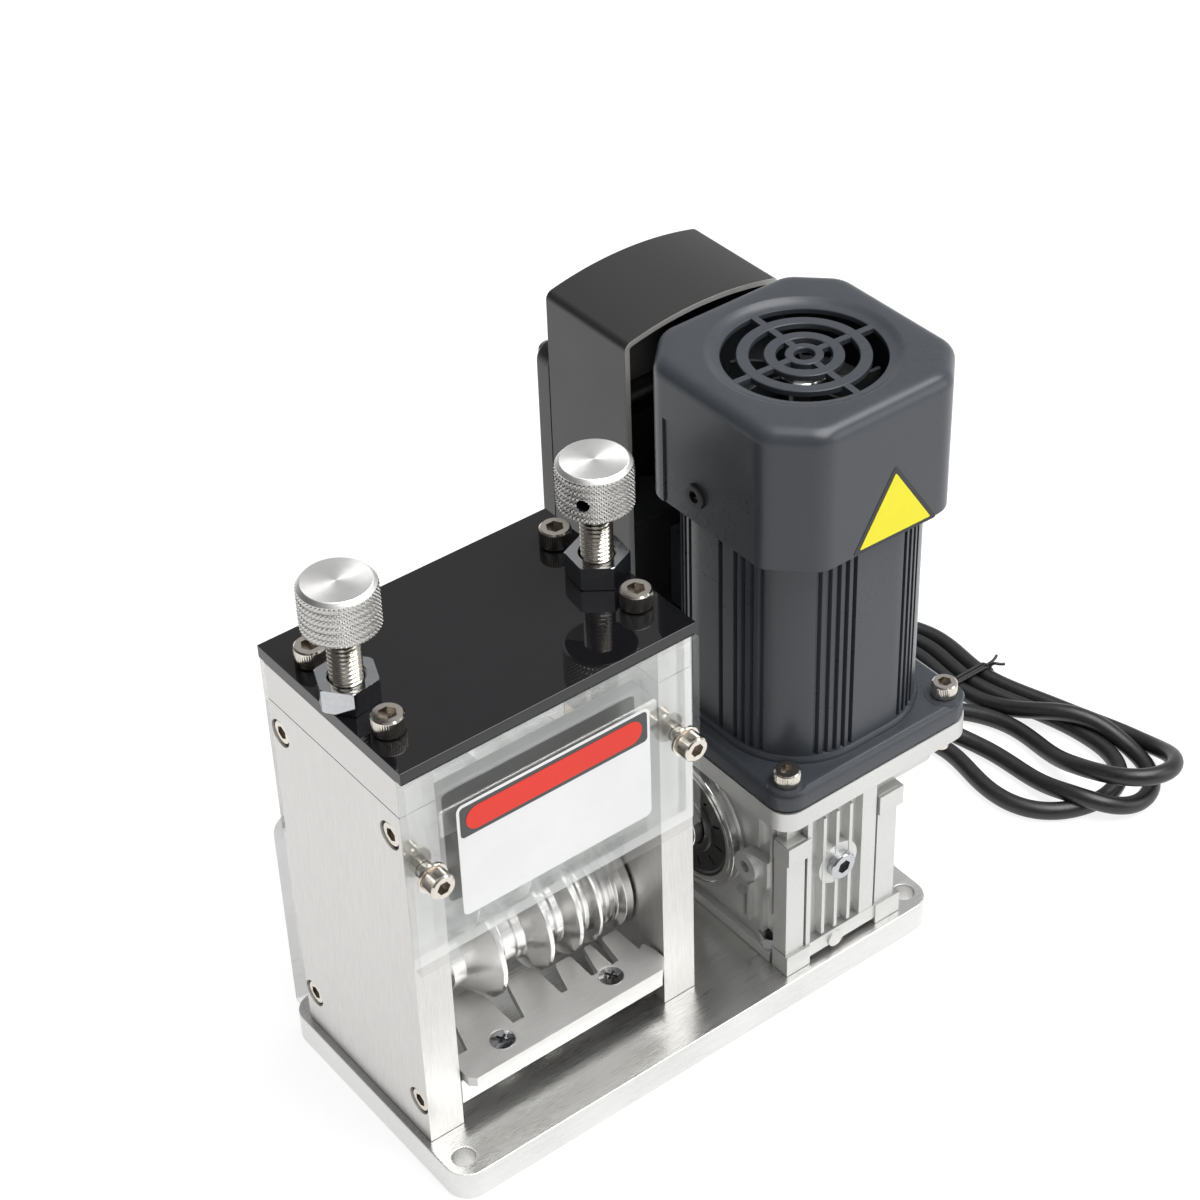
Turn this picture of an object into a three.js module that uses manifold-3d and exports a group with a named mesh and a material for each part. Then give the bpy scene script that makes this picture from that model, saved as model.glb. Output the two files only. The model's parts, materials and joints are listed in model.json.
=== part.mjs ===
// Bench wire stripping machine: stripping head, right-angle gear motor and control box on one base plate.
// Millimetres, +Z up. X runs along the base plate, the cables go in on the -Y side and leave on the +Y side.
// Working coordinates have z = 0 on the top face of the base plate; the outer group moves them to the part's frame.
import * as THREE from "three";
import { mergeVertices } from "three/addons/utils/BufferGeometryUtils.js";
import Module from "manifold-3d";

const wasm = await Module();
wasm.setup();

// ---------------------------------------------------------------- driving dimensions
const GAP = 0.3; // clearance between pieces that touch or slide
const BASE = { x0: -2.5, x1: 192, y0: -16.2, y1: 79.5, t: 11, r: 8 };
const HOLE_R = 3.6; // corner holes of the base plate
const HEAD_W = 104; // stripping head, width along X
const PLATE_T = 12.3; // side plates
const PLATE_Y0 = 2.8;
const PLATE_Y1 = 70.4;
const PLATE_H = 134;
const CAP_Z1 = 147.7; // top of the cap blocks
const COVER_Z0 = 147.9;
const COVER_Z1 = 152.3;
const COVER_Y1 = 73.1;
const SHAFT_Y = 36.6; // both shafts lie in this plane
const ROLLER_Z = 35.5; // axis of the feed roller
const CUTTER_Z = 80; // axis of the cutting discs at rest
const SCREW_X = 7.7; // adjusting screws, from either end of the head
const SCREW_R = 5; // M10
const KNOB_R = 11.7;
const KNOB_Z0 = 178.5;
const KNOB_Z1 = 193.8;
const MX = 167.7; // motor axis
const MY = 27;
const MOTOR_HALF = 40; // 80 mm flange
const SCREW_PITCH = 33.2; // half the spacing of the flange screws
const FLANGE_Z0 = 69.7;
const FLANGE_Z1 = 77.2;
const FAN_Z1 = 206;
const BOX = { x0: 132.8, x1: 193.5, y0: 68.5, y1: 108, z0: 62, z1: 201, t: 2, r: 8 };
const CORD_R = 3.2;
const FLOOR = -BASE.t;
const HANK = { x: 280, y: 44.4, half: 40, r: 32.4, z1: 2.6 };

// ---------------------------------------------------------------- solids
const solid = (geometry) => {
  const bare = geometry.clone();
  bare.deleteAttribute("normal");
  bare.deleteAttribute("uv");
  const m = mergeVertices(bare, 1e-4);
  return new wasm.Manifold(
    new wasm.Mesh({
      numProp: 3,
      vertProperties: new Float32Array(m.attributes.position.array),
      triVerts: new Uint32Array(m.index.array),
    }),
  );
};
const all = (first, ...rest) => rest.reduce((a, b) => a.add(b), first);
const cut = (first, ...rest) => rest.reduce((a, b) => a.subtract(b), first);
const box = (x0, x1, y0, y1, z0, z1) =>
  solid(
    new THREE.BoxGeometry(x1 - x0, y1 - y0, z1 - z0).translate(
      (x0 + x1) / 2,
      (y0 + y1) / 2,
      (z0 + z1) / 2,
    ),
  );
const cylZ = (r, x, y, z0, z1, n = 24, rTop = r) =>
  solid(
    new THREE.CylinderGeometry(rTop, r, z1 - z0, n)
      .rotateX(Math.PI / 2)
      .translate(x, y, (z0 + z1) / 2),
  );
const cylX = (r, y, z, x0, x1, n = 24) =>
  solid(
    new THREE.CylinderGeometry(r, r, x1 - x0, n)
      .rotateZ(-Math.PI / 2)
      .translate((x0 + x1) / 2, y, z),
  );
const cylY = (r, x, z, y0, y1, n = 16, rEnd = r) =>
  solid(
    new THREE.CylinderGeometry(rEnd, r, y1 - y0, n).translate(x, (y0 + y1) / 2, z),
  );
const turned = (points, n) => {
  const make = (list) =>
    solid(new THREE.LatheGeometry(list.map(([r, h]) => new THREE.Vector2(r, h)), n));
  const made = make(points);
  return made.volume() < 0 ? make([...points].reverse()) : made;
};
// A profile of [radius, height] pairs turned about a line along X, or along Z.
const latheX = (points, y, z, n = 24) =>
  turned(points, n).rotate([0, 0, -90]).translate([0, y, z]);
const latheZ = (points, x, y, n = 24) =>
  turned(points, n).rotate([90, 0, 0]).translate([x, y, 0]);
const outline = (points) => new THREE.Shape(points.map(([x, y]) => new THREE.Vector2(x, y)));
const prismZ = (points, z0, z1) =>
  solid(
    new THREE.ExtrudeGeometry(outline(points), { depth: z1 - z0, bevelEnabled: false }).translate(0, 0, z0),
  );
const prismY = (points, y0, y1) =>
  solid(
    new THREE.ExtrudeGeometry(outline(points), { depth: y1 - y0, bevelEnabled: false })
      .rotateX(Math.PI / 2)
      .translate(0, y1, 0),
  );
const arc = (cx, cy, r, from, to, steps) =>
  Array.from({ length: steps + 1 }, (_, i) => {
    const a = ((from + ((to - from) * i) / steps) * Math.PI) / 180;
    return [cx + r * Math.cos(a), cy + r * Math.sin(a)];
  });
const roundRect = (x0, x1, y0, y1, r, steps = 5) => [
  ...arc(x1 - r, y0 + r, r, -90, 0, steps),
  ...arc(x1 - r, y1 - r, r, 0, 90, steps),
  ...arc(x0 + r, y1 - r, r, 90, 180, steps),
  ...arc(x0 + r, y0 + r, r, 180, 270, steps),
];
const square = (half, r, steps) => roundRect(MX - half, MX + half, MY - half, MY + half, r, steps);

// A socket head cap screw standing up: head seat at z, with a hex socket.
const capScrew = (x, y, z, r, head, shank, length, socket) =>
  cut(
    latheZ(
      [
        [0, z - length],
        [shank, z - length],
        [shank, z],
        [r, z],
        [r, z + head],
        [0, z + head],
      ],
      x,
      y,
      12,
    ),
    cylZ(socket, x, y, z + head * 0.45, z + head + 1, 6),
  );

// ---------------------------------------------------------------- materials
const metal = (color, roughness = 0.35, metalness = 0.9) =>
  new THREE.MeshStandardMaterial({ color, roughness, metalness });
const aluminium = () => metal(0xc4c3bf, 0.38, 0.85);
const cast = () => metal(0xc9cac7, 0.55, 0.8);
const nickel = () => metal(0xd2cabd, 0.2, 1);
const zinc = () => metal(0xb9bec1, 0.3, 1);
const machined = () => metal(0xd8d8d6, 0.22, 0.95);
const toolSteel = () => metal(0x8f9194, 0.3, 1);
const blackGloss = () => metal(0x141415, 0.12, 0.1);
const slate = () => metal(0x3d4247, 0.25, 0.3);
const blackCoat = () => metal(0x232322, 0.45, 0.25);
const blackPlastic = () => metal(0x17181a, 0.5, 0);
const rubber = () => metal(0x141414, 0.7, 0);
const acrylic = () =>
  new THREE.MeshStandardMaterial({
    color: 0xdfe6e6,
    roughness: 0.06,
    metalness: 0,
    transparent: true,
    opacity: 0.3,
  });

const machine = new THREE.Group();
const add = (name, shape, material) => {
  const m = shape.getMesh();
  const g = new THREE.BufferGeometry();
  g.setAttribute("position", new THREE.BufferAttribute(new Float32Array(m.vertProperties), 3));
  g.setIndex(new THREE.BufferAttribute(new Uint32Array(m.triVerts), 1));
  g.computeVertexNormals();
  const mesh = new THREE.Mesh(g, material);
  mesh.name = name;
  machine.add(mesh);
};

// ---------------------------------------------------------------- base plate
const baseHoles = [
  [4.5, -8.1],
  [185.4, -8.1],
  [185.4, 71.4],
];
add(
  "base_plate",
  cut(
    prismZ(roundRect(BASE.x0, BASE.x1, BASE.y0, BASE.y1, BASE.r, 6), FLOOR, 0),
    ...baseHoles.map(([x, y]) => cylZ(HOLE_R, x, y, FLOOR - 1, 1, 24)),
  ),
  aluminium(),
);

// ---------------------------------------------------------------- stripping head frame
const SLOT_Y = 14.4; // half width of the slots that guide the bearing blocks
const SLOT_Z0 = 52;
const coverScrewY = [17.5, 56.7];
const mirror = (x) => HEAD_W - x;
const sideScrews = [
  [65.7, 123.5],
  [9, 123.5],
  [65.7, 14.6],
  [7.7, 14.6],
];
for (const side of ["left", "right"]) {
  const at = (x) => (side === "left" ? x : mirror(x));
  const bx = (a, b, ...rest) => box(Math.min(at(a), at(b)), Math.max(at(a), at(b)), ...rest);
  const cx = (r, y, z, a, b, n) => cylX(r, y, z, Math.min(at(a), at(b)), Math.max(at(a), at(b)), n);
  const sockets = sideScrews.map(([y, z]) => cx(4.4, y, z, -1, 3, 12));
  add(
    "side_plate_" + side,
    cut(
      bx(0, PLATE_T, PLATE_Y0, PLATE_Y1, 0.2, PLATE_H),
      bx(2.2, PLATE_T + 1, SHAFT_Y - SLOT_Y, SHAFT_Y + SLOT_Y, SLOT_Z0, PLATE_H + 1),
      cx(14.3, SHAFT_Y, ROLLER_Z, 4.4, PLATE_T + 1, 24),
      ...(side === "right" ? [cx(8.4, SHAFT_Y, ROLLER_Z, -1, 5, 20)] : []),
      ...sockets,
      ...coverScrewY.map((y) => cylZ(3.3, at(8.3), y, 110, PLATE_H + 1, 12)),
      cylY(2.8, at(PLATE_T / 2), 111.5, PLATE_Y0 - 1, 14, 12),
    ),
    aluminium(),
  );
  add(
    "cap_block_" + side,
    cut(
      all(
        bx(0, PLATE_T, PLATE_Y0, PLATE_Y1, PLATE_H + 0.2, CAP_Z1),
        bx(PLATE_T - 1, 18.6, SHAFT_Y - 12.6, SHAFT_Y + 12.6, PLATE_H + 0.2, CAP_Z1),
      ),
      cylZ(SCREW_R + GAP, at(SCREW_X), SHAFT_Y, PLATE_H, CAP_Z1 + 1, 20),
      ...coverScrewY.map((y) => cylZ(3.3, at(8.3), y, PLATE_H, CAP_Z1 + 1, 12)),
    ),
    aluminium(),
  );
}

const cover = cut(
  box(0, HEAD_W, 0, COVER_Y1, COVER_Z0, COVER_Z1),
  ...[SCREW_X, mirror(SCREW_X)].map((x) => cylZ(SCREW_R + 0.6, x, SHAFT_Y, COVER_Z0 - 1, COVER_Z1 + 1, 20)),
  ...[8.3, mirror(8.3)].flatMap((x) =>
    coverScrewY.map((y) => cylZ(3.3, x, y, COVER_Z0 - 1, COVER_Z1 + 1, 12)),
  ),
);
add("top_cover", cover, blackGloss());
[
  ["cover_screw_front_left", 8.3, coverScrewY[0]],
  ["cover_screw_rear_left", 8.3, coverScrewY[1]],
  ["cover_screw_front_right", mirror(8.3), coverScrewY[0]],
  ["cover_screw_rear_right", mirror(8.3), coverScrewY[1]],
].forEach(([name, x, y]) => add(name, capScrew(x, y, COVER_Z1 + 0.2, 5, 6, 3, 36, 2.9), nickel()));

const IN0 = PLATE_T + GAP;
const IN1 = mirror(PLATE_T) - GAP;
add("upper_front_bar", box(IN0, IN1, PLATE_Y0 - 0.3, 15, 118.6, 128.6), aluminium());
add("upper_rear_bar", box(IN0, IN1, 58.8, 69, 118.6, 128.6), aluminium());
add("lower_rear_bar", box(IN0, IN1, 58.8, 69, 9.6, 19.6), aluminium());
const COMB_Z0 = 18.4;
const COMB_Z1 = 22;
const combScrews = [30.8, 73.2];
add(
  "comb_support_bar",
  cut(
    box(IN0, IN1, PLATE_Y0 + 0.2, 12.8, 8.2, COMB_Z0 - 0.2),
    ...combScrews.map((x) => cylZ(2.3, x, 6.2, 10, COMB_Z0 + 1, 12)),
  ),
  aluminium(),
);
// Infeed comb: the fingers carry the cable between the flanges of the feed roller.
add(
  "infeed_comb",
  cut(
    prismZ(
      [
        [13.4, 0],
        [15.4, -2],
        [87.4, -2],
        [91.1, 1.8],
        [91.1, 6.4],
        [89.8, 10.7],
        [88.7, 10.7],
        [87.2, 9.8],
        [87.0, 21.4],
        [81.4, 21.4],
        [80.7, 20.2],
        [79.1, 10],
        [76.5, 10],
        [76.5, 20.8],
        [75.9, 21.5],
        [74.3, 21.5],
        [73.6, 20.4],
        [70.9, 10],
        [68.4, 10],
        [68.4, 20.8],
        [67.8, 21.5],
        [62.7, 21.5],
        [62.0, 20.2],
        [58.9, 10],
        [56.6, 10],
        [56.4, 24],
        [55.6, 25.3],
        [46.3, 25.3],
        [45.3, 22.4],
        [41.6, 9.4],
        [37.4, 9.4],
        [37.1, 25],
        [35.3, 28.6],
        [34.2, 30.2],
        [25.4, 30.2],
        [23.6, 22.6],
        [19.8, 9.4],
        [13.4, 9.4],
      ],
      COMB_Z0,
      COMB_Z1,
    ),
    ...combScrews.flatMap((x) => [
      cylZ(2.3, x, 6.2, COMB_Z0 - 1, COMB_Z1 + 1, 12),
      cylZ(2.3, x, 6.2, COMB_Z1 - 2.4, COMB_Z1, 16, 4.4),
    ]),
  ),
  aluminium(),
);
["left", "right"].forEach((side, i) =>
  add(
    "comb_screw_" + side,
    latheZ(
      [
        [0, 10.5],
        [2, 10.5],
        [2, COMB_Z1 - 2.1],
        [4, COMB_Z1 - 0.1],
        [0, COMB_Z1 - 0.1],
      ],
      combScrews[i],
      6.2,
      16,
    ),
    zinc(),
  ),
);

// ---------------------------------------------------------------- guards
const guardX = [PLATE_T / 2, mirror(PLATE_T / 2)];
add(
  "front_guard",
  cut(
    // the sheet, with a blank label 0.15 mm thick on its face
    all(
      box(0, HEAD_W, -1.2, 2.3, 74.8, COVER_Z0 - GAP),
      box(16, 85, -1.35, -1.1, 89.5, 131.5),
    ),
    ...guardX.map((x) => cylY(2.8, x, 111.5, -3, 4, 12)),
  ),
  acrylic(),
);
["left", "right"].forEach((side, i) =>
  add(
    "guard_screw_" + side,
    cut(
      latheZ(
        [
          [0, -12],
          [2.5, -12],
          [2.5, 1.5],
          [5, 1.5],
          [5, 2.5],
          [4.25, 2.5],
          [4.25, 7.5],
          [0, 7.5],
        ],
        0,
        0,
        12,
      ),
      cylZ(2.4, 0, 0, 5, 9, 6),
    )
      .rotate([90, 0, 0])
      .translate([guardX[i], 0, 111.5]),
    nickel(),
  ),
);
add("rear_panel", box(0, HEAD_W, PLATE_Y1 + GAP, 73.1, 79.9, COVER_Z0 - GAP), acrylic());
add(
  "outfeed_guard",
  cut(
    prismY(
      [[0, 0.2], [HEAD_W, 0.2], ...arc(HEAD_W - 6, 73.4, 6, 0, 90, 4), ...arc(6, 73.4, 6, 90, 180, 4)],
      PLATE_Y1 + GAP,
      79.2,
    ),
    box(14, mirror(14), PLATE_Y1 - 1, 81, -1, 66),
  ),
  acrylic(),
);

// ---------------------------------------------------------------- cutter
for (const side of ["left", "right"]) {
  const at = (x) => (side === "left" ? x : mirror(x));
  const bx = (a, b, ...rest) => box(Math.min(at(a), at(b)), Math.max(at(a), at(b)), ...rest);
  const cx = (r, y, z, a, b, n) => cylX(r, y, z, Math.min(at(a), at(b)), Math.max(at(a), at(b)), n);
  add(
    "bearing_block_" + side,
    cut(
      bx(3, PLATE_T, SHAFT_Y - SLOT_Y + GAP, SHAFT_Y + SLOT_Y - GAP, CUTTER_Z - 14, CUTTER_Z + 16),
      cx(5 + GAP, SHAFT_Y, CUTTER_Z, 4.4, PLATE_T + 1, 20),
    ),
    metal(0xb08a4a, 0.4, 0.9),
  );
  // M10 adjusting screw with a turned point that bears on the block.
  add(
    "adjust_screw_" + side,
    latheZ(
      [
        [0, CUTTER_Z + 16.3],
        [4.4, CUTTER_Z + 16.3],
        [4.4, PLATE_H + 0.6],
        [SCREW_R, PLATE_H + 1.4],
        [SCREW_R, KNOB_Z1 - 5.8],
        [0, KNOB_Z1 - 5.8],
      ],
      at(SCREW_X),
      SHAFT_Y,
      16,
    ),
    nickel(),
  );
  add(
    "adjust_knob_" + side,
    cut(
      latheZ(
        [
          [0, KNOB_Z0],
          [KNOB_R, KNOB_Z0],
          [KNOB_R, KNOB_Z1 - 1.6],
          [KNOB_R - 1.3, KNOB_Z1],
          [0, KNOB_Z1],
        ],
        at(SCREW_X),
        SHAFT_Y,
        24,
      ),
      cylZ(SCREW_R + GAP, at(SCREW_X), SHAFT_Y, KNOB_Z0 - 1, KNOB_Z1 - 5.5, 16),
      cylX(2, 0, 0, -KNOB_R - 1, -3, 10)
        .rotate([0, 0, side === "left" ? 215 : 35])
        .translate([at(SCREW_X), SHAFT_Y, KNOB_Z0 + 6]),
    ),
    aluminium(),
  );
  add(
    "lock_nut_" + side,
    cut(
      cylZ(9.8, at(SCREW_X), SHAFT_Y, COVER_Z1 + 0.2, COVER_Z1 + 8.2, 6).intersect(
        latheZ(
          [
            [0, COVER_Z1],
            [9.9, COVER_Z1],
            [9.9, COVER_Z1 + 7.1],
            [8.4, COVER_Z1 + 8.3],
            [0, COVER_Z1 + 8.3],
          ],
          at(SCREW_X),
          SHAFT_Y,
          12,
        ),
      ),
      cylZ(SCREW_R + GAP, at(SCREW_X), SHAFT_Y, COVER_Z1 - 1, COVER_Z1 + 10, 16),
    ),
    zinc(),
  );
  // Return spring under the block, one closed coil of wire.
  const turns = 3;
  const z0 = SLOT_Z0 + 0.9;
  const z1 = CUTTER_Z - 14.9;
  const wire = new THREE.CatmullRomCurve3(
    Array.from({ length: turns * 8 + 1 }, (_, i) => {
      const a = (i / 8) * 2 * Math.PI;
      return new THREE.Vector3(
        at(7.6) + 3.2 * Math.cos(a),
        SHAFT_Y + 3.2 * Math.sin(a),
        z0 + ((z1 - z0) * i) / (turns * 8),
      );
    }),
  );
  add(
    "return_spring_" + side,
    solid(
      new THREE.ExtrudeGeometry(
        new THREE.Shape(arc(0, 0, 0.6, 0, 288, 4).map(([x, y]) => new THREE.Vector2(x, y))),
        { extrudePath: wire, steps: turns * 9, bevelEnabled: false },
      ),
    ),
    toolSteel(),
  );
}
const discs = [
  [28.5, 27],
  [48.4, 26],
  [63.2, 24],
  [73.2, 23],
  [80.4, 22],
];
add(
  "cutter_arbor",
  latheX(
    [
      [0, 5],
      [5, 5],
      [5, IN0 + 0.4],
      [7.5, IN0 + 0.4],
      [7.5, 15],
      [9, 15.6],
      [9, 88.4],
      [7.5, 89],
      [7.5, IN1 - 0.4],
      [5, IN1 - 0.4],
      [5, HEAD_W - 5],
      [0, HEAD_W - 5],
    ],
    SHAFT_Y,
    CUTTER_Z,
    16,
  ),
  toolSteel(),
);
discs.forEach(([x, r], i) =>
  add(
    "cutting_disc_" + (i + 1),
    latheX(
      [
        [9 + GAP, x - 1.2],
        [r - 4, x - 1.2],
        [r, x],
        [r - 4, x + 1.2],
        [9 + GAP, x + 1.2],
        [9 + GAP, x - 1.2],
      ],
      SHAFT_Y,
      CUTTER_Z,
      24,
    ),
    toolSteel(),
  ),
);

// ---------------------------------------------------------------- feed roller
add(
  "feed_roller",
  latheX(
    [
      [0, 4.9],
      [7, 4.9],
      [7, 13.1],
      [10, 13.1],
      [20, 17.4],
      [20, 19.2],
      [9.8, 19.2],
      [9.8, 27.4],
      [11.2, 32],
      [20, 39.7],
      [20, 41.5],
      [11.8, 41.5],
      [13, 53.4],
      [20, 58],
      [20, 59.6],
      [13.8, 59.6],
      [14.8, 66.8],
      [20, 69.6],
      [20, 71],
      [15.2, 71],
      [16, 76],
      [20, 77.4],
      [20, 78.6],
      [16.6, 78.6],
      [17.2, 86.6],
      [20, 88],
      [20, 90.9],
      [7, 90.9],
      [7, 169.8],
      [0, 169.8],
    ],
    SHAFT_Y,
    ROLLER_Z,
    24,
  ),
  machined(),
);
["left", "right"].forEach((side) => {
  const [x0, x1] = side === "left" ? [4.9, 11.9] : [mirror(11.9), mirror(4.9)];
  add(
    "roller_bearing_" + side,
    latheX(
      [
        [7 + GAP, x0],
        [14, x0],
        [14, x1],
        [7 + GAP, x1],
        [7 + GAP, x0],
      ],
      SHAFT_Y,
      ROLLER_Z,
      20,
    ),
    metal(0xa9adb0, 0.25, 1),
  );
});

// ---------------------------------------------------------------- right-angle gearbox
const GX0 = 129.5;
const GX1 = 177.5;
const GY0 = -13.4;
const GY1 = 63;
const HOUSING_TOP = FLANGE_Z0 - 0.2;
add(
  "gearbox_housing",
  cut(
    all(
      box(GX0, GX1, GY0, GY1, 0.2, 61),
      prismZ(square(MOTOR_HALF, 7, 4), 60.4, HOUSING_TOP),
      cylX(25.2, SHAFT_Y, ROLLER_Z, 127.4, GX0 + 1, 28),
    ),
    // recesses between the corner posts of the two long sides
    box(GX0 + 8, GX1 - 8, GY0 - 1, GY0 + 4, 8, 55),
    box(GX0 + 8, GX1 - 8, GY1 - 4, GY1 + 1, 8, 55),
    // wheel chamber, open at the output side
    cylX(21.2, SHAFT_Y, ROLLER_Z, 127, 164.4, 28),
    cylX(9.7, SHAFT_Y, ROLLER_Z, 160, 171, 20),
    // pinion bore from the motor side
    cylZ(7.3, MX, MY, 45.9, HOUSING_TOP + 1, 20),
    ...[-1, 1].flatMap((sx) =>
      [-1, 1].map((sy) => cylZ(2.8, MX + sx * SCREW_PITCH, MY + sy * SCREW_PITCH, 50, HOUSING_TOP + 1, 10)),
    ),
    // oil plug hole
    cylY(4.3, 151.3, 37.6, GY0 + 3, GY0 + 10.5, 12),
  ),
  cast(),
);
add(
  "output_gear",
  latheX(
    [
      [7.4, 124.4],
      [9.2, 124.4],
      [9.2, 150],
      [20.6, 150],
      [20.6, 158.2],
      [17.6, 161.2],
      [9.2, 161.2],
      [9.2, 170.4],
      [7.4, 170.4],
      [7.4, 124.4],
    ],
    SHAFT_Y,
    ROLLER_Z,
    24,
  ),
  metal(0xa89a78, 0.35, 0.95),
);
add(
  "oil_seal",
  latheX(
    [
      [9.2 + GAP, 128.2],
      [12, 127.8],
      [12.8, 128.8],
      [20.9, 128.8],
      [20.9, 133.5],
      [9.2 + GAP, 133.5],
      [9.2 + GAP, 128.2],
    ],
    SHAFT_Y,
    ROLLER_Z,
    20,
  ),
  rubber(),
);
add(
  "oil_plug",
  cut(
    latheZ(
      [
        [0, -6.4],
        [4, -6.4],
        [4, 0],
        [4.9, 0],
        [4.9, 3.1],
        [0, 3.1],
      ],
      0,
      0,
      12,
    ),
    cylZ(2.3, 0, 0, 0.6, 4, 6),
  )
    .rotate([90, 0, 0])
    .translate([151.3, GY0 + 3.7, 37.6]),
  zinc(),
);

// ---------------------------------------------------------------- motor
add(
  "motor_housing",
  cut(
    all(
      prismZ(square(MOTOR_HALF, 8, 5), FLANGE_Z0, FLANGE_Z1),
      prismZ(square(34, 26, 8), FLANGE_Z1 - 1, 159),
      // pad for the control box
      box(150, 186, 50, 69.6, 95, 125),
    ),
    cylZ(25, MX, MY, 88, 160, 28),
    cylZ(6.6, MX, MY, FLANGE_Z0 - 1, 89, 20),
    ...[-1, 1].flatMap((sx) =>
      [-1, 1].map((sy) => cylZ(2.8, MX + sx * SCREW_PITCH, MY + sy * SCREW_PITCH, 60, FLANGE_Z1 + 1, 10)),
    ),
  ),
  slate(),
);
add(
  "motor_rotor",
  latheZ(
    [
      [0, 46.4],
      [6, 46.4],
      [6, 57.4],
      [5, 58.4],
      [5, 92],
      [24.4, 92],
      [24.4, 146],
      [5, 146],
      [5, 187],
      [3.4, 187.4],
      [3.4, 197.6],
      [0, 197.6],
    ],
    MX,
    MY,
    20,
  ),
  toolSteel(),
);
[
  ["front_left", -1, -1],
  ["front_right", 1, -1],
  ["rear_left", -1, 1],
  ["rear_right", 1, 1],
].forEach(([name, sx, sy]) =>
  add(
    "motor_screw_" + name,
    capScrew(MX + sx * SCREW_PITCH, MY + sy * SCREW_PITCH, FLANGE_Z1 + 0.2, 4.25, 5, 2.5, 22, 2.4),
    nickel(),
  ),
);
// Fan cover: a deep lid with rounded corners, a grille in its top and an open skirt round the motor body.
const FAN_Z0 = 156.8;
// Square of the given half width with its corners cut at 45 degrees, each of the eight edges a little softened.
const cutSquare = (half, corner, soft) => {
  const k = half - corner;
  const d = soft / Math.SQRT2;
  const side = [
    [half, -k + soft],
    [half, k - soft],
    [half - d, k + d],
    [k + d, half - d],
  ];
  return [0, 1, 2, 3].flatMap((q) =>
    side.map(([x, y]) => {
      const [c, s] = [[1, 0], [0, 1], [-1, 0], [0, -1]][q];
      return [MX + x * c - y * s, MY + x * s + y * c];
    }),
  );
};
add(
  "fan_cover",
  all(
    cut(
      all(
        prismZ(cutSquare(38, 13.5, 3), FAN_Z0, FAN_Z1 - 5),
        prismZ(cutSquare(36.6, 12.7, 3), FAN_Z1 - 5.01, FAN_Z1 - 2),
        prismZ(cutSquare(33.6, 10.9, 3), FAN_Z1 - 2.01, FAN_Z1),
      ),
      prismZ(cutSquare(35.8, 12.3, 2), FAN_Z0 - 1, 160.5),
      cylZ(34.6, MX, MY, 160, FAN_Z1 - 6.5, 32),
      cylZ(29.5, MX, MY, FAN_Z1 - 6.6, FAN_Z1 - 3.2, 28),
      cylZ(25, MX, MY, FAN_Z1 - 4, FAN_Z1 + 1, 24),
    ),
    cut(cylZ(20.2, MX, MY, FAN_Z1 - 3.4, FAN_Z1 - 1.5, 24), cylZ(16.5, MX, MY, FAN_Z1 - 4, FAN_Z1, 24)),
    cut(cylZ(12, MX, MY, FAN_Z1 - 3.4, FAN_Z1 - 1.5, 20), cylZ(8.5, MX, MY, FAN_Z1 - 4, FAN_Z1, 20)),
    cut(cylZ(5.8, MX, MY, FAN_Z1 - 3.4, FAN_Z1 - 1.5, 16), cylZ(3.2, MX, MY, FAN_Z1 - 4, FAN_Z1, 16)),
    ...[0, 90, 180, 270].map((a) =>
      box(4.6, 25.6, -1.15, 1.15, -3.3, -1.6).rotate([0, 0, a - 4]).translate([MX, MY, FAN_Z1]),
    ),
  ),
  slate(),
);
add(
  "cooling_fan",
  cut(
    all(
      latheZ(
        [
          [0, 188.2],
          [22, 188.2],
          [22, 189.6],
          [7, 189.6],
          [7, 198],
          [0, 198],
        ],
        MX,
        MY,
        18,
      ),
      ...Array.from({ length: 7 }, (_, i) =>
        box(6, 23, -0.7, 0.7, 189, 197.4)
          .rotate([0, 0, (i * 360) / 7])
          .translate([MX, MY, 0]),
      ),
    ),
    cylZ(3.7, MX, MY, 187, 199, 16),
  ),
  blackPlastic(),
);

// ---------------------------------------------------------------- control box behind the motor
const ROOF = { corner: 3, cornerZ: 198.71, lean: 13.7, r: 118.5, z: 86.5 };
const U = (inset, low) => {
  const x0 = BOX.x0 + inset;
  const x1 = BOX.x1 - inset;
  // a roof arched over the width, with small corner radii
  const r = ROOF.corner - inset;
  return [
    [x0, low],
    [x1, low],
    ...arc(BOX.x1 - ROOF.corner, ROOF.cornerZ, r, 0, 90 - ROOF.lean, 2),
    ...arc((BOX.x0 + BOX.x1) / 2, ROOF.z, ROOF.r - inset, 90 - ROOF.lean, 90 + ROOF.lean, 6).slice(1, -1),
    ...arc(BOX.x0 + ROOF.corner, ROOF.cornerZ, r, 90 + ROOF.lean, 180, 2),
  ];
};
add(
  "control_box_cover",
  cut(
    prismY(U(0, BOX.z0), BOX.y0, BOX.y1),
    prismY(U(BOX.t, BOX.z0 - 5), BOX.y0 - 1, BOX.y1 + 1),
  ),
  blackCoat(),
);
const TX0 = BOX.x0 + BOX.t + GAP;
const TX1 = BOX.x1 - BOX.t - GAP;
const SW = { x: 163, y: 110.6, z: 150 };
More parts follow.
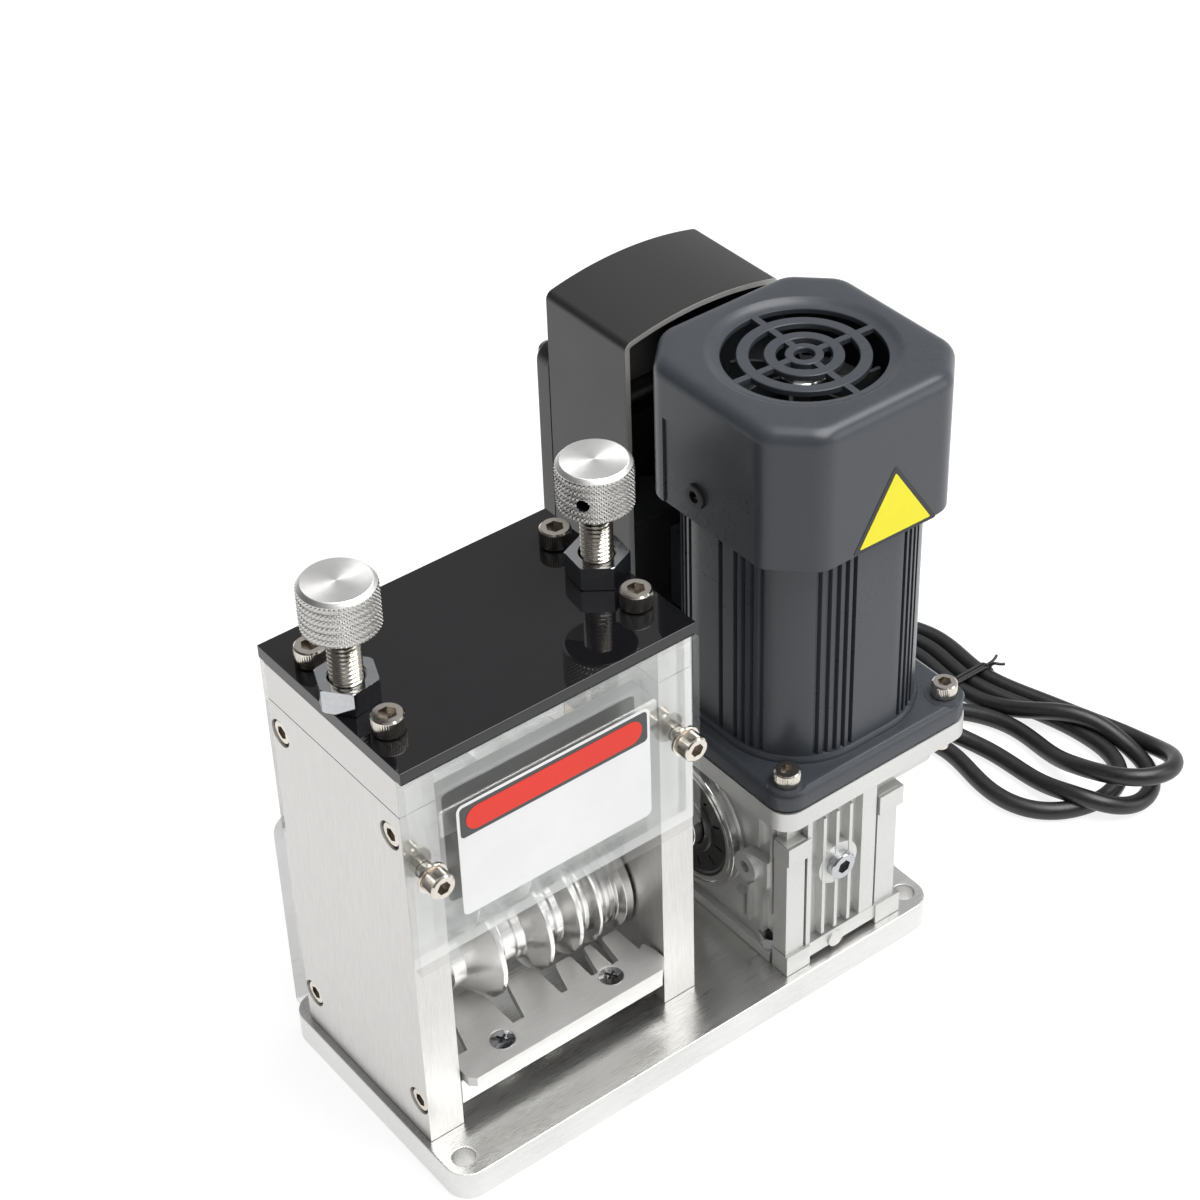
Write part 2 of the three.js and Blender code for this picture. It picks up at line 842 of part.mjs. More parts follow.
add(
  "control_box_tray",
  cut(
    all(
      box(TX0, TX1, BOX.y1 - 2.4, BOX.y1, BOX.z0 + 0.2, BOX.z1 - 9),
      box(TX0, TX1, 70, BOX.y1, BOX.z0 + 0.2, BOX.z0 + 2.2),
      box(TX0, TX1, 70, 72, BOX.z0 + 0.2, 132),
      box(BOX.x0, BOX.x1, BOX.y1 + GAP, 115.5, 80, 179),
      box(TX0 + 2, TX1 - 2, BOX.y1 - 2, BOX.y1 + 1, 84, 175),
    ),
    box(SW.x - 11, SW.x + 11, BOX.y1 - 4, 117, SW.z - 7, SW.z + 7),
    cylZ(4, 178, 90, BOX.z0 - 1, BOX.z0 + 4, 16),
  ),
  blackCoat(),
);
add(
  "rocker_switch",
  all(
    box(-10.4, 10.4, 0, 5.7, -5.6, 5.6),
    cylX(6, 0, 0, -10.4, 10.4, 20),
  )
    .rotate([-10, 0, 0]) // lower half pressed in
    .translate([SW.x, SW.y, SW.z]),
  blackPlastic(),
);

// ---------------------------------------------------------------- mains cord
const EXIT = [178, 90];
add(
  "cord_gland",
  latheZ(
    [
      [CORD_R + GAP, 44],
      [5, 44],
      [7.4, 54],
      [9, 55],
      [9, 61.7],
      [CORD_R + GAP, 61.7],
      [CORD_R + GAP, 44],
    ],
    ...EXIT,
    16,
  ),
  blackPlastic(),
);
// The lead drops from the gland, bends on to the table and runs to the tied hank.
const LOW = FLOOR + CORD_R + 0.1;
const lead = [];
for (let i = 0; i <= 3; i++) lead.push([EXIT[0], EXIT[1], 61 - (61 - (LOW + 30)) * (i / 3)]);
for (let a = 15; a <= 90; a += 15) {
  const t = (a * Math.PI) / 180;
  lead.push([EXIT[0] + 30 - 30 * Math.cos(t), EXIT[1], LOW + 30 - 30 * Math.sin(t)]);
}
lead.push([EXIT[0] + 38, EXIT[1], LOW]);
for (let a = 0; a <= 48; a += 12) {
  const t = (a * Math.PI) / 180;
  lead.push([223 + 28 * Math.sin(t), 62 + 28 * Math.cos(t), LOW]);
}
const section = new THREE.Shape(
  Array.from({ length: 8 }, (_, i) => {
    const a = (i / 8) * 2 * Math.PI;
    return new THREE.Vector2(CORD_R * Math.cos(a), CORD_R * Math.sin(a));
  }),
);
add(
  "power_cord",
  solid(
    new THREE.ExtrudeGeometry(section, {
      extrudePath: new THREE.CatmullRomCurve3(lead.map((p) => new THREE.Vector3(...p))),
      steps: 18,
      bevelEnabled: false,
    }),
  ),
  rubber(),
);
add(
  "cord_hank",
  prismZ(
    [
      ...arc(HANK.x, HANK.y - HANK.half, HANK.r, 180, 360, 10),
      ...arc(HANK.x, HANK.y + HANK.half, HANK.r, 0, 180, 10),
    ],
    FLOOR + 0.2,
    HANK.z1,
  ),
  rubber(),
);
const PLUG = { y: 114, z: -1.6 };
add(
  "cord_plug",
  all(
    latheX(
      [
        [0, 220],
        [6.6, 220],
        [6.6, 240],
        [4.4, 257.4],
        [0, 257.4],
      ],
      PLUG.y,
      PLUG.z,
      12,
    ),
    box(205, 240, PLUG.y - 12.5, PLUG.y + 12.5, PLUG.z - 9, PLUG.z + 9),
    box(188, 206, PLUG.y - 7.1, PLUG.y - 5.6, PLUG.z + 0.4, PLUG.z + 6.8),
    box(188, 206, PLUG.y + 5.6, PLUG.y + 7.1, PLUG.z + 0.4, PLUG.z + 6.8),
    cylX(2.4, PLUG.y, PLUG.z - 4.6, 185, 206, 12),
  ),
  blackPlastic(),
);

// ---------------------------------------------------------------- the part's frame
const OFFSET = { x: -101.85, y: -50.49, z: BASE.t };
machine.position.set(OFFSET.x, OFFSET.y, OFFSET.z);
const part = new THREE.Group();
part.name = "wire_stripping_machine";
part.add(machine);

export default part;
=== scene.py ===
"""Looks of the bench wire stripping machine: stripping head, right-angle gear motor, control box and mains cord."""

import json
import math
import random

import bmesh
import bpy
from mathutils import Matrix, Vector

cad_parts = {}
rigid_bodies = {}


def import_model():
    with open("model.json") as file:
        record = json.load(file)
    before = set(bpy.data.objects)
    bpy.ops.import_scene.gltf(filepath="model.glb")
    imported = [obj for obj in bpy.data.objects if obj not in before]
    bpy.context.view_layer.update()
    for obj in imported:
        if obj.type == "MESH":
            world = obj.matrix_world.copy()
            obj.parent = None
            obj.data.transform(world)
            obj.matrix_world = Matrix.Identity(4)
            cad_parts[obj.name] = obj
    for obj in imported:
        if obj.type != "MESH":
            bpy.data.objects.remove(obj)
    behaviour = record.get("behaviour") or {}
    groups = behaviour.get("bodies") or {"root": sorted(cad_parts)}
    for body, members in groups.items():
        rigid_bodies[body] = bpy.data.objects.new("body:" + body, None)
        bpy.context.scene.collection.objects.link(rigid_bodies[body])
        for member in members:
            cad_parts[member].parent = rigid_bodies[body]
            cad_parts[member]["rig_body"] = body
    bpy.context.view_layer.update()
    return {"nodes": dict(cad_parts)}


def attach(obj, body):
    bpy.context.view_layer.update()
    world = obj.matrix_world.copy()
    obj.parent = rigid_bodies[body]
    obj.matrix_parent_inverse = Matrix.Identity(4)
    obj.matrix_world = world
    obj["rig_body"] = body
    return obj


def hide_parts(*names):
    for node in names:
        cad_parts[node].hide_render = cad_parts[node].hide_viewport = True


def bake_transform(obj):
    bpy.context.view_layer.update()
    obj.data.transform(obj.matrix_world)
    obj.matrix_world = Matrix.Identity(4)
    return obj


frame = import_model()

# Working coordinates are millimetres with z = 0 on top of the base plate, as in the part's source.
OFFSET = (-101.85, -50.49, 11.0)
ROW = Matrix.Scale(0.001, 4) @ Matrix.Translation(OFFSET)
scene = bpy.context.scene
NODES = frame["nodes"]
random.seed(7)


def row(x, y, z):
    return ROW @ Vector((x, y, z))


# ---------------------------------------------------------------- camera
def make_camera():
    data = bpy.data.cameras.new("camera")
    cam = bpy.data.objects.new("camera", data)
    scene.collection.objects.link(cam)
    az, el, roll = math.radians(-36.47), math.radians(37.94), math.radians(-2.10)
    fwd = Vector((-math.sin(az) * math.cos(el), math.cos(az) * math.cos(el), -math.sin(el)))
    right = Vector((math.cos(az), math.sin(az), 0))
    up = right.cross(fwd)
    r = math.cos(roll) * right + math.sin(roll) * up
    u = -math.sin(roll) * right + math.cos(roll) * up
    at = row(-288.7, -484.9, 650.0)
    cam.matrix_world = Matrix(
        (
            (r.x, u.x, -fwd.x, at.x),
            (r.y, u.y, -fwd.y, at.y),
            (r.z, u.z, -fwd.z, at.z),
            (0, 0, 0, 1),
        )
    )
    data.lens = 82.72
    data.sensor_width = 36
    data.shift_y = -0.0053
    data.clip_start, data.clip_end = 0.01, 50
    scene.camera = cam


make_camera()


# ---------------------------------------------------------------- meshes, in millimetres
def link(ob):
    scene.collection.objects.link(ob)
    return ob


def raw(verts, faces):
    me = bpy.data.meshes.new("m")
    me.from_pydata([tuple(v) for v in verts], [], faces)
    bm = bmesh.new()
    bm.from_mesh(me)
    bmesh.ops.recalc_face_normals(bm, faces=bm.faces)
    bm.to_mesh(me)
    bm.free()
    return link(bpy.data.objects.new("tmp", me))


def place(axis, h, p, q):
    return {"x": (h, p, q), "y": (p, h, q), "z": (p, q, h)}[axis]


def box(x0, x1, y0, y1, z0, z1):
    v = [(x, y, z) for x in (x0, x1) for y in (y0, y1) for z in (z0, z1)]
    f = [(0, 1, 3, 2), (4, 6, 7, 5), (0, 4, 5, 1), (2, 3, 7, 6), (0, 2, 6, 4), (1, 5, 7, 3)]
    return raw(v, f)


def prism(points, axis, a, b):
    n = len(points)
    v = [place(axis, h, p, q) for h in (a, b) for p, q in points]
    f = [tuple(range(n)), tuple(range(2 * n - 1, n - 1, -1))]
    f += [(i, (i + 1) % n, n + (i + 1) % n, n + i) for i in range(n)]
    return raw(v, f)


def lathe(profile, axis, u, v, n=96):
    """Profile of (radius, height) turned about the line at (u, v) along axis."""
    closed = profile[0] == profile[-1]
    pts = profile[:-1] if closed else profile
    verts, rings = [], []
    for r, h in pts:
        if r < 1e-6:
            rings.append([len(verts)])
            verts.append(place(axis, h, u, v))
        else:
            rings.append(list(range(len(verts), len(verts) + n)))
            for i in range(n):
                a = 2 * math.pi * i / n
                verts.append(place(axis, h, u + r * math.cos(a), v + r * math.sin(a)))
    faces = []
    pairs = list(zip(rings, rings[1:])) + ([(rings[-1], rings[0])] if closed else [])
    for a, b in pairs:
        for i in range(n):
            j = (i + 1) % n
            if len(a) == 1 and len(b) == 1:
                continue
            if len(a) == 1:
                faces.append((a[0], b[i], b[j]))
            elif len(b) == 1:
                faces.append((a[i], a[j], b[0]))
            else:
                faces.append((a[i], a[j], b[j], b[i]))
    return raw(verts, faces)


def cyl(axis, r, u, v, a, b, n=48):
    return prism(
        [(u + r * math.cos(2 * math.pi * i / n), v + r * math.sin(2 * math.pi * i / n)) for i in range(n)],
        axis,
        a,
        b,
    )


def hexagon(af, u=0.0, v=0.0, turn=0.0):
    r = af / math.sqrt(3)
    return [
        (u + r * math.cos(math.radians(60 * i + turn)), v + r * math.sin(math.radians(60 * i + turn)))
        for i in range(6)
    ]


def loft(rings, cap_first=True, cap_last=True):
    n = len(rings[0])
    verts = [p for ring in rings for p in ring]
    faces = []
    for k in range(len(rings) - 1):
        for i in range(n):
            j = (i + 1) % n
            faces.append((k * n + i, k * n + j, (k + 1) * n + j, (k + 1) * n + i))
    if cap_first:
        faces.append(tuple(range(n)))
    if cap_last:
        faces.append(tuple(range(len(verts) - n, len(verts))))
    return raw(verts, faces)


def bake(ob):
    bpy.context.view_layer.update()
    dg = bpy.context.evaluated_depsgraph_get()
    me = bpy.data.meshes.new_from_object(ob.evaluated_get(dg))
    ob.modifiers.clear()
    ob.data = me
    return ob


def drop(*obs):
    for o in obs:
        bpy.data.objects.remove(o)


def boolean(a, others, op):
    others = list(others)
    if not others:
        return a
    for b in others:
        m = a.modifiers.new("b", "BOOLEAN")
        m.operation, m.object, m.solver = op, b, "EXACT"
    bake(a)
    drop(*others)
    return a


def cut(a, *others):
    return boolean(a, others, "DIFFERENCE")


def fuse(a, *others):
    return boolean(a, others, "UNION")


def meet(a, b):
    return boolean(a, [b], "INTERSECT")


def join(*obs):
    bm = bmesh.new()
    for o in obs:
        me = o.data.copy()
        me.transform(o.matrix_basis)
        bm.from_mesh(me)
    bm.to_mesh(obs[0].data)
    bm.free()
    obs[0].matrix_basis = Matrix.Identity(4)
    drop(*obs[1:])
    return obs[0]


def moved(ob, m):
    ob.data.transform(m)
    return ob


def bevelled(ob, width, seg=2, angle=32):
    m = ob.modifiers.new("bevel", "BEVEL")
    m.width, m.segments, m.limit_method = width, seg, "ANGLE"
    m.angle_limit = math.radians(angle)
    m.miter_outer = "MITER_ARC"
    return bake(ob)


def arc(cx, cy, r, a0, a1, n):
    return [
        (cx + r * math.cos(math.radians(a0 + (a1 - a0) * i / n)), cy + r * math.sin(math.radians(a0 + (a1 - a0) * i / n)))
        for i in range(n + 1)
    ]


def rounded(x0, x1, y0, y1, r, n=10):
    return (
        arc(x1 - r, y0 + r, r, -90, 0, n)
        + arc(x1 - r, y1 - r, r, 0, 90, n)
        + arc(x0 + r, y1 - r, r, 90, 180, n)
        + arc(x0 + r, y0 + r, r, 180, 270, n)
    )


def emit(name, ob, mat, node=None, body=None, also=(), bevel=0.0, seg=2, angle=32, smooth=32, faces=None, blend=None):
    """Puts a finished mesh in the row frame. node is the CAD node it stands for; faces picks second materials."""
    if bevel:
        bevelled(ob, bevel, seg, angle)
    me = ob.data
    me.materials.clear()
    me.materials.append(mat)
    if faces:
        for other, test in faces:
            me.materials.append(other)
            k = len(me.materials) - 1
            for p in me.polygons:
                if test(p.center, p.normal):
                    p.material_index = k
    me.transform(ROW)
    me.shade_smooth()
    me.set_sharp_from_angle(angle=math.radians(smooth))
    # flat faces stay flat in reflections, and only the bevels between them turn
    m = ob.modifiers.new("flat_first", "WEIGHTED_NORMAL")
    m.mode = "FACE_AREA"
    m.weight = 50
    m.keep_sharp = True
    bake(ob)
    me = ob.data
    ob.name = name
    me.name = name
    if blend:
        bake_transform(ob)
    else:
        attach(ob, body or NODES[node]["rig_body"])
    if node:
        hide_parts(node, *also)
    return ob


# ---------------------------------------------------------------- materials
def material(
    name,
    color,
    metallic=0.0,
    rough=0.4,
    rough_var=0.06,
    var=0.05,
    streak=(1, 1, 1),
    scale=400.0,
    depth=0.004,
    bump=0.25,
    coat=0.0,
    coat_rough=0.04,
    aniso=0.0,
    tangent=None,
    smudge=0.04,
    detail=5.0,
    spec=0.5,
    ior=1.5,
):
    m = bpy.data.materials.new(name)
    m.use_nodes = True
    t = m.node_tree
    N, L = t.nodes, t.links
    N.clear()
    out = N.new("ShaderNodeOutputMaterial")
    b = N.new("ShaderNodeBsdfPrincipled")
    L.new(b.outputs["BSDF"], out.inputs["Surface"])
    b.inputs["Metallic"].default_value = metallic
    b.inputs["Coat Weight"].default_value = coat
    b.inputs["Coat Roughness"].default_value = coat_rough
    b.inputs["Specular IOR Level"].default_value = spec
    b.inputs["IOR"].default_value = ior
    b.inputs["Anisotropic"].default_value = aniso
    co = N.new("ShaderNodeTexCoord")
    mp = N.new("ShaderNodeMapping")
    mp.inputs["Scale"].default_value = [s * scale for s in streak]
    L.new(co.outputs["Object"], mp.inputs["Vector"])
    fine = N.new("ShaderNodeTexNoise")
    fine.inputs["Scale"].default_value = 1.0
    fine.inputs["Detail"].default_value = detail
    fine.inputs["Roughness"].default_value = 0.62
    L.new(mp.outputs["Vector"], fine.inputs["Vector"])
    wide = N.new("ShaderNodeTexNoise")
    wide.inputs["Scale"].default_value = 26.0
    wide.inputs["Detail"].default_value = 3.0
    L.new(co.outputs["Object"], wide.inputs["Vector"])
    low = [c * (1 - var) for c in color]
    high = [min(1.0, c * (1 + var)) for c in color]
    ramp = N.new("ShaderNodeValToRGB")
    ramp.color_ramp.elements[0].position = 0.3
    ramp.color_ramp.elements[0].color = (*low, 1)
    ramp.color_ramp.elements[1].position = 0.7
    ramp.color_ramp.elements[1].color = (*high, 1)
    L.new(fine.outputs["Fac"], ramp.inputs["Fac"])
    tone = N.new("ShaderNodeMapRange")
    tone.inputs["From Min"].default_value = 0.3
    tone.inputs["From Max"].default_value = 0.7
    tone.inputs["To Min"].default_value = 1 - smudge
    tone.inputs["To Max"].default_value = 1 + smudge
    L.new(wide.outputs["Fac"], tone.inputs["Value"])
    mul = N.new("ShaderNodeVectorMath")
    mul.operation = "SCALE"
    L.new(ramp.outputs["Color"], mul.inputs[0])
    L.new(tone.outputs["Result"], mul.inputs["Scale"])
    L.new(mul.outputs["Vector"], b.inputs["Base Color"])
    both = N.new("ShaderNodeMath")
    both.operation = "ADD"
    L.new(fine.outputs["Fac"], both.inputs[0])
    L.new(wide.outputs["Fac"], both.inputs[1])
    rr = N.new("ShaderNodeMapRange")
    rr.inputs["From Min"].default_value = 0.7
    rr.inputs["From Max"].default_value = 1.3
    rr.inputs["To Min"].default_value = max(0.01, rough - rough_var)
    rr.inputs["To Max"].default_value = min(1.0, rough + rough_var)
    L.new(both.outputs[0], rr.inputs["Value"])
    L.new(rr.outputs["Result"], b.inputs["Roughness"])
    if bump:
        bp = N.new("ShaderNodeBump")
        bp.inputs["Strength"].default_value = bump
        bp.inputs["Distance"].default_value = depth / 1000
        L.new(fine.outputs["Fac"], bp.inputs["Height"])
        L.new(bp.outputs["Normal"], b.inputs["Normal"])
    if tangent:
        tg = N.new("ShaderNodeTangent")
        tg.direction_type = "RADIAL"
        tg.axis = tangent
        L.new(tg.outputs["Tangent"], b.inputs["Tangent"])
    return m


def turned_material(name, color, centre, axis, rough=0.25, aniso=0.5, scale=2600.0, depth=0.006):
    """Machined surface whose lines run round an axis through centre (mm)."""
    m = material(name, color, 1.0, rough, 0.05, 0.03, scale=180, bump=0, aniso=aniso, tangent=axis.upper(), smudge=0.03)
    t = m.node_tree
    N, L = t.nodes, t.links
    b = next(n for n in N if n.type == "BSDF_PRINCIPLED")
    co = next(n for n in N if n.type == "TEX_COORD")
    c = row(*centre)
    sub = N.new("ShaderNodeVectorMath")
    sub.operation = "SUBTRACT"
    sub.inputs[1].default_value = c
    L.new(co.outputs["Object"], sub.inputs[0])
    keep = N.new("ShaderNodeVectorMath")
    keep.operation = "MULTIPLY"
    keep.inputs[1].default_value = tuple(0.0 if a == axis else 1.0 for a in "xyz")
    L.new(sub.outputs["Vector"], keep.inputs[0])
    ln = N.new("ShaderNodeVectorMath")
    ln.operation = "LENGTH"
    L.new(keep.outputs["Vector"], ln.inputs[0])
    along = N.new("ShaderNodeVectorMath")
    along.operation = "DOT_PRODUCT"
    along.inputs[1].default_value = tuple(1.0 if a == axis else 0.0 for a in "xyz")
    L.new(sub.outputs["Vector"], along.inputs[0])
    add = N.new("ShaderNodeMath")
    add.operation = "ADD"
    L.new(ln.outputs["Value"], add.inputs[0])
    L.new(along.outputs["Value"], add.inputs[1])
    lines = N.new("ShaderNodeTexNoise")
    lines.noise_dimensions = "1D"
    lines.inputs["Scale"].default_value = scale
    lines.inputs["Detail"].default_value = 3.0
    L.new(add.outputs[0], lines.inputs["W"])
    bp = N.new("ShaderNodeBump")
    bp.inputs["Strength"].default_value = 0.3
    bp.inputs["Distance"].default_value = depth / 1000
    L.new(lines.outputs["Fac"], bp.inputs["Height"])
    L.new(bp.outputs["Normal"], b.inputs["Normal"])
    return m


def clear_material(name, tint, gloss_rough=0.03, milk=0.012):
    """Clear sheet: what is behind shows through, with reflections by Fresnel and faint scuffs."""
    m = bpy.data.materials.new(name)
    m.use_nodes = True
    t = m.node_tree
    N, L = t.nodes, t.links
    N.clear()
    out = N.new("ShaderNodeOutputMaterial")
    thru = N.new("ShaderNodeBsdfTransparent")
    thru.inputs["Color"].default_value = (*tint, 1)
    gloss = N.new("ShaderNodeBsdfPrincipled")
    gloss.inputs["Base Color"].default_value = (0.9, 0.92, 0.92, 1)
    gloss.inputs["Metallic"].default_value = 1.0
    co = N.new("ShaderNodeTexCoord")
    noise = N.new("ShaderNodeTexNoise")
    noise.inputs["Scale"].default_value = 90.0
    noise.inputs["Detail"].default_value = 6.0
    L.new(co.outputs["Object"], noise.inputs["Vector"])
    rr = N.new("ShaderNodeMapRange")
    rr.inputs["To Min"].default_value = gloss_rough
    rr.inputs["To Max"].default_value = gloss_rough + 0.09
    L.new(noise.outputs["Fac"], rr.inputs["Value"])
    L.new(rr.outputs["Result"], gloss.inputs["Roughness"])
    fr = N.new("ShaderNodeFresnel")
    fr.inputs["IOR"].default_value = 1.45
    haze = N.new("ShaderNodeMath")
    haze.operation = "MULTIPLY_ADD"
    haze.inputs[1].default_value = 0.5
    haze.inputs[2].default_value = 0.0
    L.new(fr.outputs["Fac"], haze.inputs[0])
    mix = N.new("ShaderNodeMixShader")
    L.new(haze.outputs[0], mix.inputs["Fac"])
    L.new(thru.outputs[0], mix.inputs[1])
    L.new(gloss.outputs[0], mix.inputs[2])
    dull = N.new("ShaderNodeBsdfDiffuse")
    dull.inputs["Color"].default_value = (0.9, 0.91, 0.9, 1)
    scuff = N.new("ShaderNodeMapRange")
    scuff.inputs["To Min"].default_value = milk * 0.6
    scuff.inputs["To Max"].default_value = milk * 1.4
    L.new(noise.outputs["Fac"], scuff.inputs["Value"])
    veil = N.new("ShaderNodeMixShader")
    L.new(scuff.outputs["Result"], veil.inputs["Fac"])
    L.new(mix.outputs[0], veil.inputs[1])
    L.new(dull.outputs[0], veil.inputs[2])
    L.new(veil.outputs[0], out.inputs["Surface"])
    return m


def frosted_material(name, color, alpha):
    m = material(name, color, 0.0, 0.35, 0.1, 0.05, streak=(1, 1, 1), scale=900, depth=0.01, bump=0.3)
    b = next(n for n in m.node_tree.nodes if n.type == "BSDF_PRINCIPLED")
    b.inputs["Alpha"].default_value = alpha
    return m


ALU = (0.62, 0.612, 0.595)
M = {
    "plate": material("brushed_plate", (0.68, 0.672, 0.655), 1.0, 0.46, 0.06, 0.1, (60, 60, 2.2), 60, 0.012, 0.4, smudge=0.04),
    "plate_flat": material("brushed_flat", (0.66, 0.652, 0.635), 1.0, 0.44, 0.06, 0.07, (2.2, 60, 60), 60, 0.010, 0.3, smudge=0.04),
    "base": material("base_top", (0.72, 0.717, 0.704), 1.0, 0.3, 0.07, 0.06, (1.6, 40, 40), 55, 0.008, 0.3, smudge=0.06),
    "comb": material("comb_satin", (0.72, 0.715, 0.7), 0.9, 0.5, 0.06, 0.05, (3, 30, 30), 60, 0.008, 0.3, smudge=0.05),
    "bar": material("bar_satin", (0.74, 0.735, 0.72), 1.0, 0.42, 0.05, 0.06, (2, 50, 50), 60, 0.008, 0.3),
    "black_gloss": material("black_gloss", (0.007, 0.007, 0.008), 0.0, 0.035, 0.015, 0.1, scale=120, bump=0.0, ior=1.52),
    "nickel": material("nickel", (0.68, 0.635, 0.57), 1.0, 0.16, 0.05, 0.06, scale=900, depth=0.004, bump=0.2),
    # dark nickel for the floors of hex sockets: painted shade
    "socket_painted_shade": material("socket_floor_painted_shade", (0.2, 0.18, 0.165), 1.0, 0.35, 0.05, 0.1, scale=900, depth=0.004, bump=0.2),
    "zinc": material("zinc", (0.5, 0.51, 0.525), 1.0, 0.13, 0.06, 0.07, scale=700, depth=0.006, bump=0.25),
    "steel": material("tool_steel", (0.42, 0.42, 0.42), 1.0, 0.28, 0.06, 0.08, scale=600, depth=0.006, bump=0.25),
    "bronze": material("bronze", (0.5, 0.34, 0.15), 1.0, 0.34, 0.06, 0.1, scale=600, depth=0.008, bump=0.3),
    "cast": material("blasted_casting", (0.65, 0.65, 0.636), 0.85, 0.5, 0.06, 0.05, (1, 1, 1), 1500, 0.03, 0.55, smudge=0.05),
    "cast_cut": material("milled_casting", (0.42, 0.42, 0.41), 0.9, 0.42, 0.06, 0.06, (20, 1, 1), 140, 0.01, 0.3),
    "machined": material("machined_lip", (0.72, 0.72, 0.71), 1.0, 0.2, 0.05, 0.05, scale=500, depth=0.006, bump=0.25),
    "slate": material("slate_paint", (0.043, 0.048, 0.056), 0.0, 0.31, 0.05, 0.05, scale=520, bump=0.0, spec=0.42),
    "box": material("black_coat", (0.014, 0.014, 0.0135), 0.0, 0.42, 0.05, 0.12, scale=1600, depth=0.014, bump=0.4, coat=0.25, coat_rough=0.3),
    # lighter grey for the hood's front edge face: a painted highlight along the opening
    "hood_edge_highlight": material("hood_edge_painted_highlight", (0.45, 0.44, 0.42), 0.3, 0.35, 0.05, 0.08, (2, 2, 40), 80, 0.01, 0.3),
    "plastic": material("black_plastic", (0.01, 0.01, 0.011), 0.0, 0.4, 0.06, 0.15, scale=900, depth=0.015, bump=0.4),
    "fan": material("fan_plastic", (0.03, 0.031, 0.032), 0.0, 0.35, 0.06, 0.15, scale=500, depth=0.01, bump=0.3),
    "rubber": material("cord_rubber", (0.0085, 0.0085, 0.0085), 0.0, 0.38, 0.07, 0.2, scale=500, depth=0.02, bump=0.3, spec=0.6),
    "brass": material("plug_blade", (0.75, 0.62, 0.36), 1.0, 0.24, 0.05, 0.06, scale=700, depth=0.005, bump=0.2),
    "seal": material("seal_rubber", (0.012, 0.012, 0.012), 0.0, 0.45, 0.06, 0.15, scale=800, depth=0.02, bump=0.4),
    "white": material("label_white", (0.76, 0.76, 0.765), 0.0, 0.4, 0.04, 0.01, scale=300, bump=0.03, spec=0.3),
    "label_dark": material("label_dark", (0.025, 0.024, 0.024), 0.0, 0.35, 0.04, 0.05, scale=300, bump=0.03, coat=0.3),
    "label_red": material("label_red", (0.7, 0.05, 0.035), 0.0, 0.45, 0.04, 0.02, scale=300, bump=0.03, spec=0.15),
    "yellow": material("sticker_yellow", (0.78, 0.7, 0.035), 0.0, 0.45, 0.04, 0.02, scale=300, bump=0.03, spec=0.15),
    # black for the foot studs, which are black; also used as painted shade inside the knob's bore and set-screw hole
    "stud_black_and_hole_shade": material("black_stud_and_painted_hole_shade", (0.012, 0.012, 0.012), 0.3, 0.35, 0.05, 0.1, scale=500, bump=0.2),
    "winding": material("core_steel", (0.2, 0.16, 0.12), 0.9, 0.4, 0.06, 0.1, (1, 1, 60), 60, 0.02, 0.4),
    "clear": clear_material("clear_sheet", (0.985, 0.985, 0.98)),
    "frost": frosted_material("clear_edge", (0.5, 0.5, 0.49), 0.16),
}

PLATE_T, HEAD_W = 12.3, 104.0
PY0, PY1 = 2.8, 70.4
SY, RZ, CZ = 36.6, 35.5, 80.0
MX, MY = 167.7, 27.0
OUT = "frame"


def mirror(x):
    return HEAD_W - x


